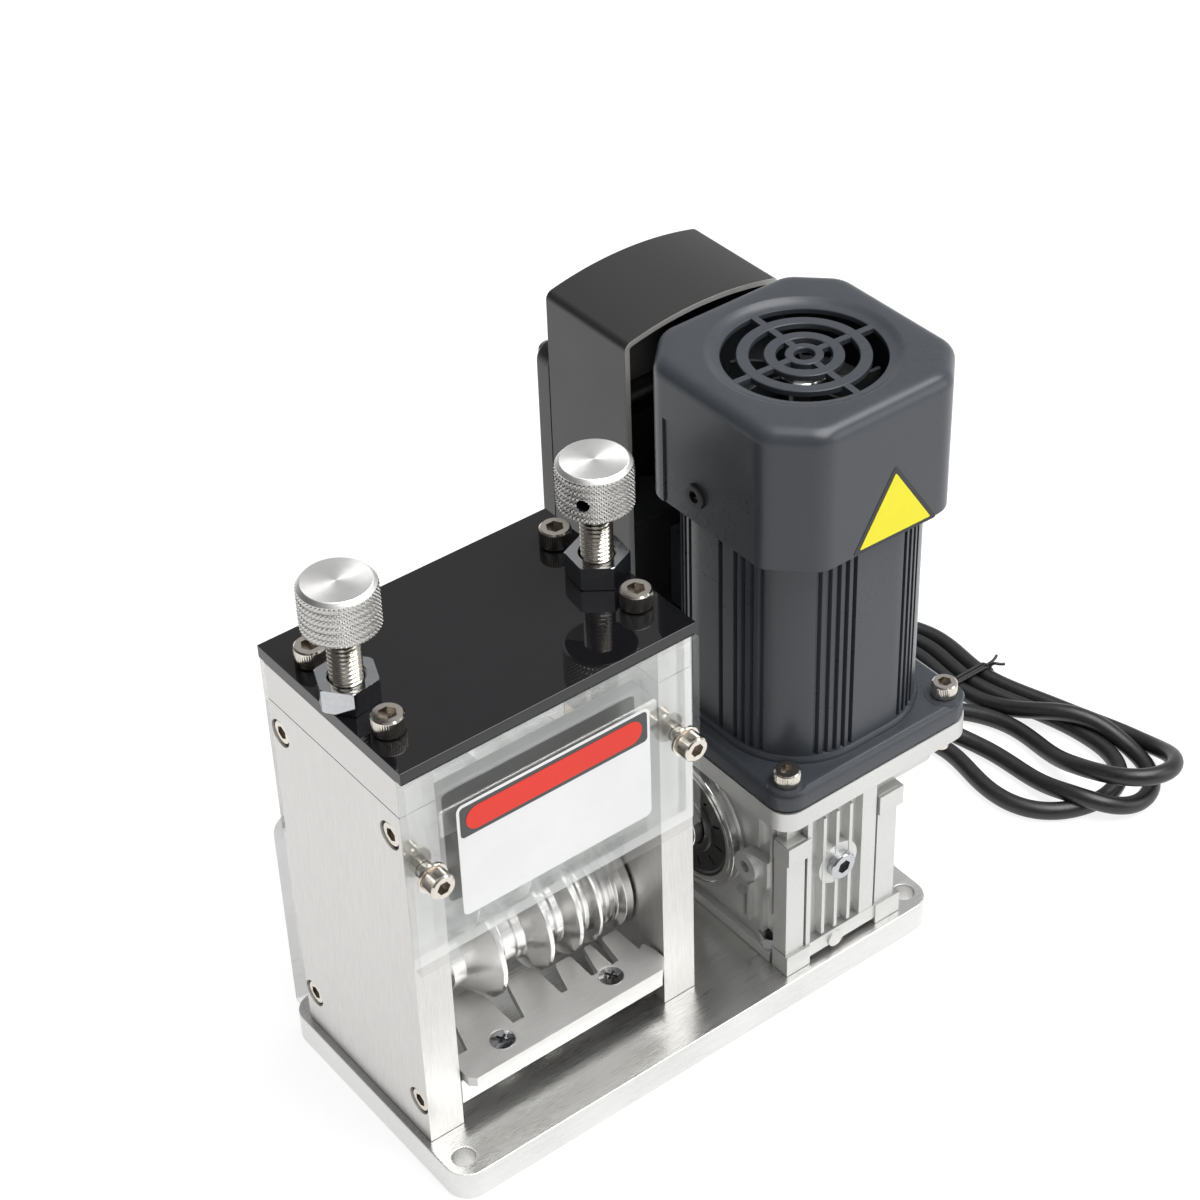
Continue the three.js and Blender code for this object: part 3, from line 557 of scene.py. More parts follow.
# ---------------------------------------------------------------- mains cord
# Route of the cord's centreline: down from its gland, along the table, three turns of a tied hank, into the plug.
ROUTE = [
    (178.0, 90.0, 61.0), (178.0, 90.0, 51.7), (178.0, 90.0, 42.4), (178.0, 90.0, 33.1), (177.9, 90.0, 23.8),
    (179.1, 90.0, 14.6), (182.8, 90.0, 6.1), (188.9, 90.0, -0.8), (196.9, 90.0, -5.5), (205.9, 90.0, -7.5),
    (215.2, 89.8, -7.8), (224.4, 88.3, -7.7), (232.9, 84.8, -7.7), (240.2, 79.1, -7.7), (245.3, 71.4, -7.7),
    (248.6, 62.7, -7.7), (250.6, 53.6, -7.7), (252.6, 44.6, -7.7), (252.6, 35.3, -7.7), (250.6, 26.2, -7.7),
    (249.2, 17.1, -7.7), (249.7, 7.8, -7.7), (253.2, -0.8, -7.7), (259.7, -7.3, -7.7), (268.1, -11.1, -7.7),
    (277.2, -12.7, -7.7), (286.3, -11.0, -7.7), (293.3, -5.1, -7.7), (296.6, 3.5, -7.7), (296.8, 12.8, -7.7),
    (295.9, 22.0, -7.7), (293.9, 31.1, -7.7), (291.2, 40.0, -7.7), (288.3, 48.8, -7.7), (286.1, 57.8, -7.7),
    (285.6, 67.1, -7.7), (286.7, 76.3, -7.7), (287.9, 85.5, -7.7), (286.6, 94.7, -7.7), (281.8, 102.6, -7.7),
    (274.1, 107.7, -7.7), (265.1, 109.8, -7.7), (256.0, 108.9, -7.7), (247.9, 104.4, -7.7), (242.3, 97.1, -7.3),
    (240.2, 88.4, -5.0), (241.6, 79.7, -2.1), (245.2, 71.2, -1.4), (250.1, 63.4, -1.9), (255.1, 55.9, -4.1),
    (259.1, 47.9, -6.6), (262.3, 39.3, -7.7), (264.3, 30.2, -7.7), (265.0, 20.9, -7.7), (265.0, 11.7, -7.4),
    (264.9, 2.6, -5.6), (266.0, -6.3, -3.1), (269.2, -14.7, -2.8), (275.8, -20.7, -5.4), (284.5, -22.9, -7.4),
    (293.3, -20.6, -7.7), (299.8, -14.1, -7.7), (302.8, -5.4, -7.5), (302.7, 3.7, -5.8), (301.2, 12.5, -3.3),
    (297.2, 20.7, -1.7), (292.0, 28.4, -2.2), (287.1, 36.0, -4.3), (283.6, 44.3, -6.6), (280.8, 53.0, -7.7),
    (279.4, 62.2, -7.7), (279.7, 71.5, -7.7), (281.1, 80.7, -7.7), (281.3, 89.9, -7.7), (277.2, 98.1, -7.7),
    (269.3, 102.7, -7.7), (260.1, 103.0, -7.7), (252.0, 98.7, -7.7), (247.4, 90.8, -7.7), (247.6, 81.6, -7.7),
    (251.7, 73.4, -7.7), (257.9, 66.5, -7.7), (264.8, 60.3, -7.7), (271.4, 53.7, -7.7), (276.4, 45.9, -7.7),
    (279.6, 37.2, -7.7), (280.3, 28.0, -7.7), (279.3, 18.8, -7.3), (277.6, 10.0, -5.0), (276.1, 1.6, -1.1),
    (275.8, -7.0, 2.2), (278.0, -15.7, 4.4), (283.5, -23.0, 5.2), (292.0, -26.3, 4.7), (300.5, -23.9, 2.6),
    (306.1, -17.3, -0.6), (308.6, -9.3, -4.5), (309.2, -0.4, -7.1), (307.7, 8.7, -7.7), (304.8, 17.5, -7.7),
    (301.9, 26.4, -7.7), (299.3, 35.3, -7.7), (296.4, 44.1, -7.7), (293.6, 53.0, -7.7), (291.9, 62.1, -7.7),
    (292.4, 71.4, -7.7), (293.8, 80.5, -7.7), (294.1, 89.8, -7.7), (291.8, 98.8, -7.7), (286.8, 106.5, -7.7),
    (279.4, 112.1, -7.0), (270.8, 114.6, -4.9), (261.7, 114.5, -2.8), (252.7, 114.0, -1.6), (243.4, 114.0, -1.6),
]


def cord_curve(name, points, radius, mat):
    cu = bpy.data.curves.new(name, "CURVE")
    cu.dimensions = "3D"
    cu.bevel_depth = radius / 1000
    cu.bevel_resolution = 7
    cu.use_fill_caps = True
    sp = cu.splines.new("NURBS")
    sp.points.add(len(points) - 1)
    for q, p in zip(sp.points, points):
        q.co = (*row(*p), 1)
    sp.order_u = 4
    sp.use_endpoint_u = True
    sp.resolution_u = 6
    cu.materials.append(mat)
    return link(bpy.data.objects.new(name, cu))


def wire(points, r, n=12):
    """Round wire along open points, in mm."""
    rings = []
    last = None
    for k, p in enumerate(points):
        a = Vector(points[max(k - 1, 0)])
        b = Vector(points[min(k + 1, len(points) - 1)])
        t = (b - a).normalized()
        e1 = (last - t * last.dot(t)).normalized() if last else t.orthogonal().normalized()
        last = e1
        e2 = t.cross(e1)
        rings.append([tuple(Vector(p) + r * (math.cos(2 * math.pi * i / n) * e1 + math.sin(2 * math.pi * i / n) * e2)) for i in range(n)])
    return loft(rings)


def hull2(pts):
    pts = sorted(set(pts))

    def half(seq):
        out = []
        for p in seq:
            while len(out) > 1 and (out[-1][0] - out[-2][0]) * (p[1] - out[-2][1]) <= (out[-1][1] - out[-2][1]) * (p[0] - out[-2][0]):
                out.pop()
            out.append(p)
        return out[:-1]

    return half(pts) + half(pts[::-1])


def tie(y0, x_range):
    """Thin wire tie, wrapped twice round the strands that pass y0 within x_range, its ends twisted together."""
    cross = []
    for a, b in zip(ROUTE, ROUTE[1:]):
        if (a[1] - y0) * (b[1] - y0) <= 0 and a[1] != b[1]:
            t = (y0 - a[1]) / (b[1] - a[1])
            x, z = a[0] + t * (b[0] - a[0]), a[2] + t * (b[2] - a[2])
            if x_range[0] < x < x_range[1]:
                cross.append((x, z))
    ring = hull2([(x + 3.65 * math.cos(i * math.pi / 24), z + 3.65 * math.sin(i * math.pi / 24)) for x, z in cross for i in range(48)])
    top = max(range(len(ring)), key=lambda i: ring[i][1] + 0.35 * ring[i][0])
    ring = ring[top:] + ring[:top]
    parts = []
    for shift, lean in ((-1.3, 0.5), (0.0, -0.3), (1.2, 0.4)):
        pts = []
        for k, (x, z) in enumerate(ring + ring[:1]):
            u = k / len(ring)
            pts.append((x, y0 + shift + lean * math.sin(2 * math.pi * u), max(z, -10.25)))
        parts.append(wire(pts, 0.62))
    x, z = ring[0]
    for side in (-1, 1):
        pts = []
        for k in range(15):
            t = k / 14
            a = 5.5 * t
            pts.append((x - 0.8 + 6.0 * t + 0.7 * math.cos(a + side), y0 - 1.0 + side * (0.4 + 2.2 * t * t) - 1.5 * t, z - 0.2 + 3.6 * t - 1.6 * t * t + 0.5 * math.sin(a + side)))
        parts.append(wire(pts, 0.55))
    return join(*parts)


def cord_and_plug():
    gland = lathe(
        [(3.5, 44), (4.8, 44), (5.2, 44.6), (5.6, 46.2), (5.2, 46.8), (5.6, 47.4), (6.1, 49.2), (5.7, 49.8), (6.2, 50.4), (6.8, 52.2), (6.4, 52.8), (7.6, 54), (9, 54.6), (9, 61.4), (8.6, 61.8), (3.5, 61.8), (3.5, 44)],
        "z", 178, 90, 64,
    )
    gland = emit("cord_gland_v", gland, M["plastic"], node="cord_gland", bevel=0.15)
    y, z = 114.0, -1.6
    body = loft(
        [
            [(x, y + p, z + q) for p, q in rounded(-w, w, -h, h, r, 8)]
            for x, w, h, r in (
                (205.2, 11.4, 7.9, 4.0), (206.0, 12.2, 8.7, 4.4), (209, 12.5, 9, 4.6), (217, 12.1, 8.7, 4.6), (224, 11.0, 8.0, 4.8),
                (231, 9.6, 7.4, 5.0), (236.5, 8.4, 7.0, 5.6), (239.6, 7.2, 6.7, 6.2), (240.4, 6.4, 6.2, 6.1),
            )
        ]
    )
    grips = []
    for k in range(5):
        for s in (-1, 1):
            x = 211 + 3.6 * k
            grips.append(box(x, x + 1.5, y + s * (12.5 - 0.32 * k) - 0.9, y + s * (12.5 - 0.32 * k) + 0.9, z - 5, z + 5))
    cut(body, *grips)
    steps = [(0, 240.0), (6.5, 240.0)]
    for k in range(5):
        x = 241.2 + 3.1 * k
        r = 6.4 - 0.118 * (x - 240)
        steps += [(r, x), (r - 0.1, x + 1.9), (r - 1.0, x + 2.2), (r - 1.1, x + 2.8)]
    steps += [(4.5, 257.0), (4.2, 257.4), (0, 257.4)]
    boot = lathe(steps, "x", y, z, 48)
    blades = []
    for s in (-1, 1):
        a = box(188, 206, y + s * 6.35 - 0.75, y + s * 6.35 + 0.75, z + 0.4, z + 6.8)
        cut(a, cyl("y", 1.4, 191.6, z + 3.6, y - 12, y + 12, 24))
        blades.append(bevelled(a, 0.25))
    earth = lathe([(0, 185), (1.2, 185.2), (2.1, 186.2), (2.4, 187.6), (2.4, 206), (0, 206)], "x", y, z - 4.6, 32)
    bevelled(body, 0.25)
    plug = join(body, boot, earth, *blades)
    plug = emit("cord_plug_v", plug, M["plastic"], node="cord_plug", smooth=32, faces=[(M["brass"], lambda c, n: c.x < 205.1)])
    knot = emit("hank_tie", tie(64.0, (272, 300)), M["seal"], body=OUT, smooth=40)
    cord = cord_curve("power_cord_v", ROUTE, 3.2, M["rubber"])
    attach(cord, NODES["power_cord"]["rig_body"])
    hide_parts("power_cord", "cord_hank")


cord_and_plug()


# ---------------------------------------------------------------- fasteners
def cap_screw(r, head, shank, length, af, knurl=True):
    """Socket head cap screw standing on z = 0, head up."""
    n = 96 if knurl else 64
    verts, faces = [], []
    levels = [
        (r - 0.35, 0.0, 0),
        (r, 0.35, 1 if knurl else 0),
        (r, head - 0.75, 1 if knurl else 0),
        (r - 0.15, head - 0.45, 0),
        (r - 0.6, head, 0),
    ]
    for rad, z, k in levels:
        for i in range(n):
            a = 2 * math.pi * i / n
            rr = rad - (0.16 if k and i % 2 else 0)
            verts.append((rr * math.cos(a), rr * math.sin(a), z))
    for k in range(len(levels) - 1):
        for i in range(n):
            j = (i + 1) % n
            faces.append((k * n + i, k * n + j, (k + 1) * n + j, (k + 1) * n + i))
    faces += [tuple(range(n)), tuple(range(4 * n, 5 * n))]
    ob = raw(verts, faces)
    cut(ob, prism(hexagon(af), "z", head * 0.42, head + 1))
    if length:
        ob = join(ob, cyl("z", shank, 0, 0, -length, 0.05, 24))
    return ob


def place_screws(name, proto_args, spots, mat="nickel", body=OUT, floor=True):
    """One mesh for each spot: (piece name, CAD node or None, matrix in mm)."""
    for piece, node, m in spots:
        ob = moved(cap_screw(*proto_args), m)
        inside = m.to_3x3() @ Vector((0, 0, 1))
        centre = m.translation
        head, af = proto_args[1], proto_args[4]

        # the socket's floor and lower walls take a dark colour: painted shade inside the hex socket
        def dark(c, nrm, inside=inside, centre=centre, head=head, af=af):
            d = (c - centre).dot(inside)
            away = (c - centre - inside * d).length
            return away < af * 0.55 and d > 0.2 * head and d < head * 0.43

        emit(piece, ob, M[mat], node=node, body=None if node else body, smooth=28, faces=[(M["socket_painted_shade"], dark)])


def T(x, y, z, rot=None):
    m = Matrix.Translation((x, y, z))
    return m @ rot if rot else m


TO_NEG_Y = Matrix.Rotation(math.radians(90), 4, "X")  # +z of the screw points along -y
TO_NEG_X = Matrix.Rotation(math.radians(-90), 4, "Y")
TO_POS_X = Matrix.Rotation(math.radians(90), 4, "Y")

# ---------------------------------------------------------------- base plate
base = prism(rounded(-2.5, 192, -16.2, 79.5, 8, 12), "z", -11, 0)
cut(base, *[cyl("z", 3.6, x, y, -12, 1, 48) for x, y in ((4.5, -8.1), (185.4, -8.1), (185.4, 71.4))])
emit("base_plate_v", base, M["base"], node="base_plate", bevel=0.55, seg=2)

# ---------------------------------------------------------------- side plates and cap blocks
for side in ("left", "right"):
    at = (lambda x: x) if side == "left" else mirror

    def bx(a, b, *rest):
        return box(min(at(a), at(b)), max(at(a), at(b)), *rest)

    def cx(r, y, z, a, b, n=48):
        return cyl("x", r, y, z, min(at(a), at(b)), max(at(a), at(b)), n)

    spots = [(65.7, 123.5), (9.0, 123.5), (65.7, 14.6), (7.7, 14.6)]
    plate = bx(0, PLATE_T, PY0, PY1, 0.2, 134)
    cut(
        plate,
        bx(2.2, PLATE_T + 1, SY - 14.4, SY + 14.4, 52, 135),
        cx(14.3, SY, RZ, 4.4, PLATE_T + 1),
        *([cx(8.4, SY, RZ, -1, 5)] if side == "right" else []),
        *[cx(4.7, y, z, -1, 4.6, 40) for y, z in spots],
        cyl("y", 2.8, at(PLATE_T / 2), 111.5, PY0 - 1, 14, 24),
    )
    emit(f"side_plate_{side}_v", plate, M["plate"], node=f"side_plate_{side}", bevel=0.35, seg=2)
    block = bx(0, PLATE_T, PY0, PY1, 134.2, 147.7)
    fuse(block, bx(PLATE_T - 1, 18.6, SY - 12.6, SY + 12.6, 134.2, 147.7))
    cut(block, cyl("z", 5.3, at(7.7), SY, 133, 149, 32))
    emit(f"cap_block_{side}_v", block, M["plate_flat"], node=f"cap_block_{side}", bevel=0.3, seg=2)
    rot = TO_NEG_X if side == "left" else TO_POS_X
    place_screws(
        "side",
        (4.25, 4.0, 2.5, 12, 4.0),
        [(f"side_screw_{side}_{i + 1}", None, T(at(4.5), y, z, rot)) for i, (y, z) in enumerate(spots)],
    )

# ---------------------------------------------------------------- top cover
cover = box(0, HEAD_W, 0, 73.1, 147.9, 152.3)
cut(
    cover,
    cyl("z", 5.6, 7.7, SY, 147, 153, 40),
    cyl("z", 5.6, mirror(7.7), SY, 147, 153, 40),
)
emit("top_cover_v", cover, M["black_gloss"], node="top_cover", bevel=0.3, seg=3)
place_screws(
    "cover",
    (5.0, 6.0, 3.0, 36, 5.0),
    [
        ("cover_screw_front_left_v", "cover_screw_front_left", T(8.3, 17.5, 152.5)),
        ("cover_screw_rear_left_v", "cover_screw_rear_left", T(8.3, 56.7, 152.5)),
        ("cover_screw_front_right_v", "cover_screw_front_right", T(mirror(8.3), 17.5, 152.5)),
        ("cover_screw_rear_right_v", "cover_screw_rear_right", T(mirror(8.3), 56.7, 152.5)),
    ],
)

# ---------------------------------------------------------------- bars, comb
for node, dims in {
    "upper_front_bar": (12.6, 91.4, 2.5, 15, 118.6, 128.6),
    "upper_rear_bar": (12.6, 91.4, 58.8, 69, 118.6, 128.6),
    "lower_rear_bar": (12.6, 91.4, 58.8, 69, 9.6, 19.6),
    "comb_support_bar": (12.6, 91.4, 3.0, 12.8, 8.2, 18.2),
}.items():
    emit(node + "_v", box(*dims), M["bar"], node=node, bevel=1.2 if node == "upper_front_bar" else 0.4, seg=3)

COMB = [
    (13.4, 0), (15.4, -2), (87.4, -2), (91.1, 1.8), (91.1, 6.4), (89.8, 10.7), (88.7, 10.7), (87.2, 9.8),
    (87.0, 21.4), (81.4, 21.4), (80.7, 20.2), (79.1, 10), (76.5, 10), (76.5, 20.8), (75.9, 21.5), (74.3, 21.5),
    (73.6, 20.4), (70.9, 10), (68.4, 10), (68.4, 20.8), (67.8, 21.5), (62.7, 21.5), (62.0, 20.2), (58.9, 10),
    (56.6, 10), (56.4, 24), (55.6, 25.3), (46.3, 25.3), (45.3, 22.4), (41.6, 9.4), (37.4, 9.4), (37.1, 25),
    (35.3, 28.6), (34.2, 30.2), (25.4, 30.2), (23.6, 22.6), (19.8, 9.4), (13.4, 9.4),
]
comb = prism(COMB, "z", 18.4, 22.0)
cut(comb, *[lathe([(0, 18), (2.3, 18), (2.3, 19.7), (4.45, 22.2), (0, 22.2)], "z", x, 6.2, 48) for x in (30.8, 73.2)])
emit("infeed_comb_v", comb, M["comb"], node="infeed_comb", bevel=0.3, seg=2)
for side, x in (("left", 30.8), ("right", 73.2)):
    s = lathe([(0, 10.5), (2, 10.5), (2, 19.7), (4.1, 21.7), (3.9, 22.0), (2.4, 22.25), (0, 22.35)], "z", x, 6.2, 64)
    a = box(-0.45, 0.45, -2.1, 2.1, 20.4, 23)
    b = box(-2.1, 2.1, -0.45, 0.45, 20.4, 23)
    for o in (a, b):
        moved(o, T(x, 6.2, 0, Matrix.Rotation(math.radians(28), 4, "Z")))
    cut(s, a, b)
    emit(f"comb_screw_{side}_v", s, M["zinc"], node=f"comb_screw_{side}", smooth=30)


# ---------------------------------------------------------------- clear guards
def edge(c, n):
    return False


guard = box(0, HEAD_W, -1.2, 2.3, 74.8, 147.6)
cut(guard, *[cyl("y", 2.8, x, 111.5, -3, 4, 24) for x in (6.15, mirror(6.15))])
emit(
    "front_guard_v",
    guard,
    M["clear"],
    node="front_guard",
    bevel=0.2,
    seg=2,
    faces=[(M["frost"], lambda c, n: abs(n.y) < 0.6)],
)
place_screws(
    "guard",
    (4.25, 5.0, 2.5, 12.2, 4.0),
    [
        (f"guard_screw_{s}_v", f"guard_screw_{s}", T(x, -2.5, 111.5, TO_NEG_Y))
        for s, x in (("left", 6.15), ("right", mirror(6.15)))
    ],
)
for s, x in (("left", 6.15), ("right", mirror(6.15))):
    w = lathe([(2.6, -1.35), (5.0, -1.35), (5.0, -2.35), (4.8, -2.5), (2.6, -2.5), (2.6, -1.35)], "y", x, 111.5, 64)
    emit(f"guard_washer_{s}", w, M["nickel"], body=OUT)
panel = box(0.2, HEAD_W - 0.2, 70.7, 73.1, 79.9, 147.6)
emit("rear_panel_v", panel, M["clear"], node="rear_panel", bevel=0.2, faces=[(M["frost"], lambda c, n: abs(n.y) < 0.6)])
arch = prism(
    [(0, 0.2), (HEAD_W, 0.2)] + arc(HEAD_W - 6, 73.4, 6, 0, 90, 10) + arc(6, 73.4, 6, 90, 180, 10), "y", 70.7, 79.2
)
cut(arch, box(14, mirror(14), 60, 90, -1, 66))
emit("outfeed_guard_v", arch, M["clear"], node="outfeed_guard", bevel=0.4, faces=[(M["frost"], lambda c, n: abs(n.y) < 0.6)])

# ---------------------------------------------------------------- plain decals
def decal(name, pts, y, mat, thick=0.12):
    ob = prism(pts, "y", y - thick, y)
    emit(name, ob, M[mat], body=OUT)


decal("guard_label", rounded(16, 85, 89.5, 131.5, 2.2, 8), -1.22, "white")
decal("guard_label_band", rounded(17, 84, 119.2, 130.5, 1.4, 8), -1.35, "label_dark", 0.08)
decal("guard_label_bar", rounded(19, 82, 120.6, 129.1, 4.2, 12), -1.44, "label_red", 0.08)

# ---------------------------------------------------------------- adjusting screws, knobs, lock nuts
def thread(x, y, r, z0, z1, pitch=1.5, depth=0.75, n=40):
    rows_n = int((z1 - z0) / (pitch / 8))
    rings = [[(x + (r - depth) * math.cos(2 * math.pi * i / n), y + (r - depth) * math.sin(2 * math.pi * i / n), z0) for i in range(n)]]
    for k in range(rows_n + 1):
        z = z0 + (z1 - z0) * k / rows_n
        ring = []
        for i in range(n):
            f = (z / pitch - i / n) % 1.0
            rr = r - depth * min(1.0, max(0.0, abs(2 * f - 1) * 1.25 - 0.1))
            a = 2 * math.pi * i / n
            ring.append((x + rr * math.cos(a), y + rr * math.sin(a), z))
        rings.append(ring)
    rings.append([(x + (r - depth) * math.cos(2 * math.pi * i / n), y + (r - depth) * math.sin(2 * math.pi * i / n), z1) for i in range(n)])
    return loft(rings)


def knob(x, y, z0, z1, R, hole_angle):
    N, per, rows_n = 54, 4, 44
    n = N * per
    pz = 2 * math.pi * R / N
    rings = []

    def ring(r, z):
        return [(x + r * math.cos(2 * math.pi * i / n), y + r * math.sin(2 * math.pi * i / n), z) for i in range(n)]

    rings.append(ring(R - 0.9, z0))
    rings.append(ring(R - 0.35, z0 + 0.45))
    lo, hi = z0 + 0.6, z1 - 1.7
    for k in range(rows_n + 1):
        z = lo + (hi - lo) * k / rows_n
        out = []
        for i in range(n):
            u = N * i / n
            w = (z - lo) / pz
            a = 1 - abs(2 * ((u + w) % 1.0) - 1)
            b = 1 - abs(2 * ((u - w) % 1.0) - 1)
            rr = R - 0.46 + 0.54 * min(a, b)
            t = 2 * math.pi * i / n
            out.append((x + rr * math.cos(t), y + rr * math.sin(t), z))
        rings.append(out)
    rings.append(ring(R - 0.3, z1 - 1.45))
    rings.append(ring(R - 0.35, z1 - 1.2))
    rings.append(ring(R - 1.3, z1 - 0.15))
    rings.append(ring(R - 1.6, z1))
    ob = loft(rings)
    drill = cyl("x", 2.0, 0, 0, 5.5, R + 2, 32)
    moved(drill, T(x, y, (z0 + z1) / 2 - 1.2, Matrix.Rotation(math.radians(hole_angle), 4, "Z")))
    bore = cyl("z", 5.3, x, y, z0 - 1, z1 - 5.6, 40)
    return cut(ob, drill, bore)


for side, x, hole in (("left", 7.7, 35), ("right", mirror(7.7), 215)):
    body = f"adjuster_{side}"
    s = thread(x, SY, 5.0, 96.3, 188.0)
    emit(f"adjust_screw_{side}_v", s, M["nickel"], node=f"adjust_screw_{side}", smooth=50)
    # the turned top is much lighter (0.93) than the knurled rim (0.6): painted highlight on the upward face
    top = turned_material(f"knob_top_lit_{side}", (0.93, 0.925, 0.91), (x, SY, 193), "z", 0.42, 0.6)
    rim = material(f"knob_rim_{side}", (0.6, 0.59, 0.57), 1.0, 0.3, 0.05, 0.05, scale=700, depth=0.006, bump=0.2)
    k = knob(x, SY, 178.5, 193.8, 11.7, hole)
    emit(
        f"adjust_knob_{side}_v",
        k,
        rim,
        node=f"adjust_knob_{side}",
        smooth=25,
        faces=[
            (top, lambda c, n: c.z > 192.3 and n.z > 0.3),
            # the knob's bore and set-screw hole walls are black: painted shade in the hole
            (M["stud_black_and_hole_shade"], lambda c, n, x=x: 178.5 < c.z < 190 and (c.x - x) ** 2 + (c.y - SY) ** 2 < 100),
        ],
    )
    nut = prism(hexagon(17, x, SY, 8 if side == "left" else 22), "z", 152.5, 160.5)
    cone = lathe([(0, 151.8), (8.6, 151.8), (10.2, 153.2), (10.2, 159.8), (8.6, 161.2), (0, 161.2)], "z", x, SY, 64)
    meet(nut, cone)
    cut(nut, lathe([(0, 152), (5.3, 152), (5.3, 159.9), (5.9, 160.6), (0, 160.6)], "z", x, SY, 48))
    emit(f"lock_nut_{side}_v", nut, M["zinc"], node=f"lock_nut_{side}", bevel=0.12, smooth=25)

# ---------------------------------------------------------------- bearing blocks, springs, cutter
for side in ("left", "right"):
    at = (lambda x: x) if side == "left" else mirror
    a, b = sorted((at(3.0), at(PLATE_T)))
    blk = box(a, b, SY - 14.1, SY + 14.1, CZ - 14, CZ + 16)
    c, d = sorted((at(4.4), at(PLATE_T + 1)))
    cut(blk, cyl("x", 5.3, SY, CZ, c, d, 48))
    emit(f"bearing_block_{side}_v", blk, M["bronze"], node=f"bearing_block_{side}", bevel=0.4)
    turns, n, k = 4, 10, 24
    rings = []
    z0, z1 = 52.95, 65.05
    for i in range(turns * k + 1):
        t = 2 * math.pi * i / k
        z = z0 + (z1 - z0) * i / (turns * k)
        c0 = Vector((at(7.6) + 3.2 * math.cos(t), SY + 3.2 * math.sin(t), z))
        e1 = Vector((math.cos(t), math.sin(t), 0))
        e2 = Vector((0, 0, 1))
        rings.append(
            [tuple(c0 + 0.6 * (math.cos(2 * math.pi * j / n) * e1 + math.sin(2 * math.pi * j / n) * e2)) for j in range(n)]
        )
    ends = (row(at(7.6), SY, 52.4), row(at(7.6), SY, 65.6))
    emit(f"return_spring_{side}_v", loft(rings), M["steel"], node=f"return_spring_{side}", smooth=60, blend=(OUT, "cutter_carriage", *ends))
    x0, x1 = (4.9, 11.9) if side == "left" else (mirror(11.9), mirror(4.9))
    ring = lathe(
        [
            (7.3, x0), (9.2, x0), (9.2, x0 + 0.6), (12.1, x0 + 0.6), (12.1, x0), (14, x0), (14, x1), (12.1, x1),
            (12.1, x1 - 0.6), (9.2, x1 - 0.6), (9.2, x1), (7.3, x1), (7.3, x0),
        ],
        "x", SY, RZ, 64,
    )
    emit(f"roller_bearing_{side}_v", ring, M["machined"], node=f"roller_bearing_{side}", bevel=0.2)
arbor = lathe(
    [
        (0, 5), (4.6, 5), (5, 5.4), (5, 13), (7.5, 13), (7.5, 15), (9, 15.6), (9, 88.4), (7.5, 89), (7.5, 91), (5, 91),
        (5, 98.6), (4.6, 99), (0, 99),
    ],
    "x", SY, CZ, 64,
)
emit("cutter_arbor_v", arbor, M["steel"], node="cutter_arbor")
blade = turned_material("blade_steel", (0.6, 0.6, 0.6), (52, SY, CZ), "x", 0.2, 0.4, 1800)
for i, (x, r) in enumerate([(28.5, 27), (48.4, 26), (63.2, 24), (73.2, 23), (80.4, 22)]):
    d = lathe([(9.3, x - 1.2), (r - 4, x - 1.2), (r - 0.05, x - 0.08), (r - 0.05, x + 0.08), (r - 4, x + 1.2), (9.3, x + 1.2), (9.3, x - 1.2)], "x", SY, CZ, 128)
    emit(f"cutting_disc_{i + 1}_v", d, blade, node=f"cutting_disc_{i + 1}")

# ---------------------------------------------------------------- feed roller
ROLLER = [
    (0, 4.9), (6.6, 4.9), (7, 5.3), (7, 13.1), (9.8, 13.1), (9.8, 15.2), (12.8, 15.2), (20, 17.5), (20, 19.2), (9.8, 19.2),
    (9.8, 27.4), (11.2, 27.4), (11.2, 32), (20, 39.8), (20, 41.5), (11.8, 41.5), (11.8, 45.6), (12.2, 46), (12.2, 50.3),
    (13, 50.3), (13, 53.4), (20, 58.1), (20, 59.6), (13.8, 59.6), (13.8, 64.4), (14.8, 64.4), (14.8, 66.8), (20, 69.6),
    (20, 71), (15.2, 71), (15.2, 74.4), (16, 74.4), (16, 76), (20, 77.5), (20, 78.6), (16.4, 78.6), (16.4, 81.8),
    (17.4, 81.8), (17.4, 83.4), (16.2, 83.4), (16.2, 85.2), (17.4, 85.2), (17.4, 86.6), (20, 88), (20, 90.9), (8.5, 90.9),
    (7, 91.4), (7, 169.3), (6.5, 169.8), (0, 169.8),
]
roller = lathe(ROLLER, "x", SY, RZ, 160)
emit("feed_roller_v", roller, turned_material("roller_steel", (0.88, 0.875, 0.86), (52, SY, RZ), "x", 0.24, 0.35, 1500), node="feed_roller", bevel=0.12, seg=1, smooth=28)

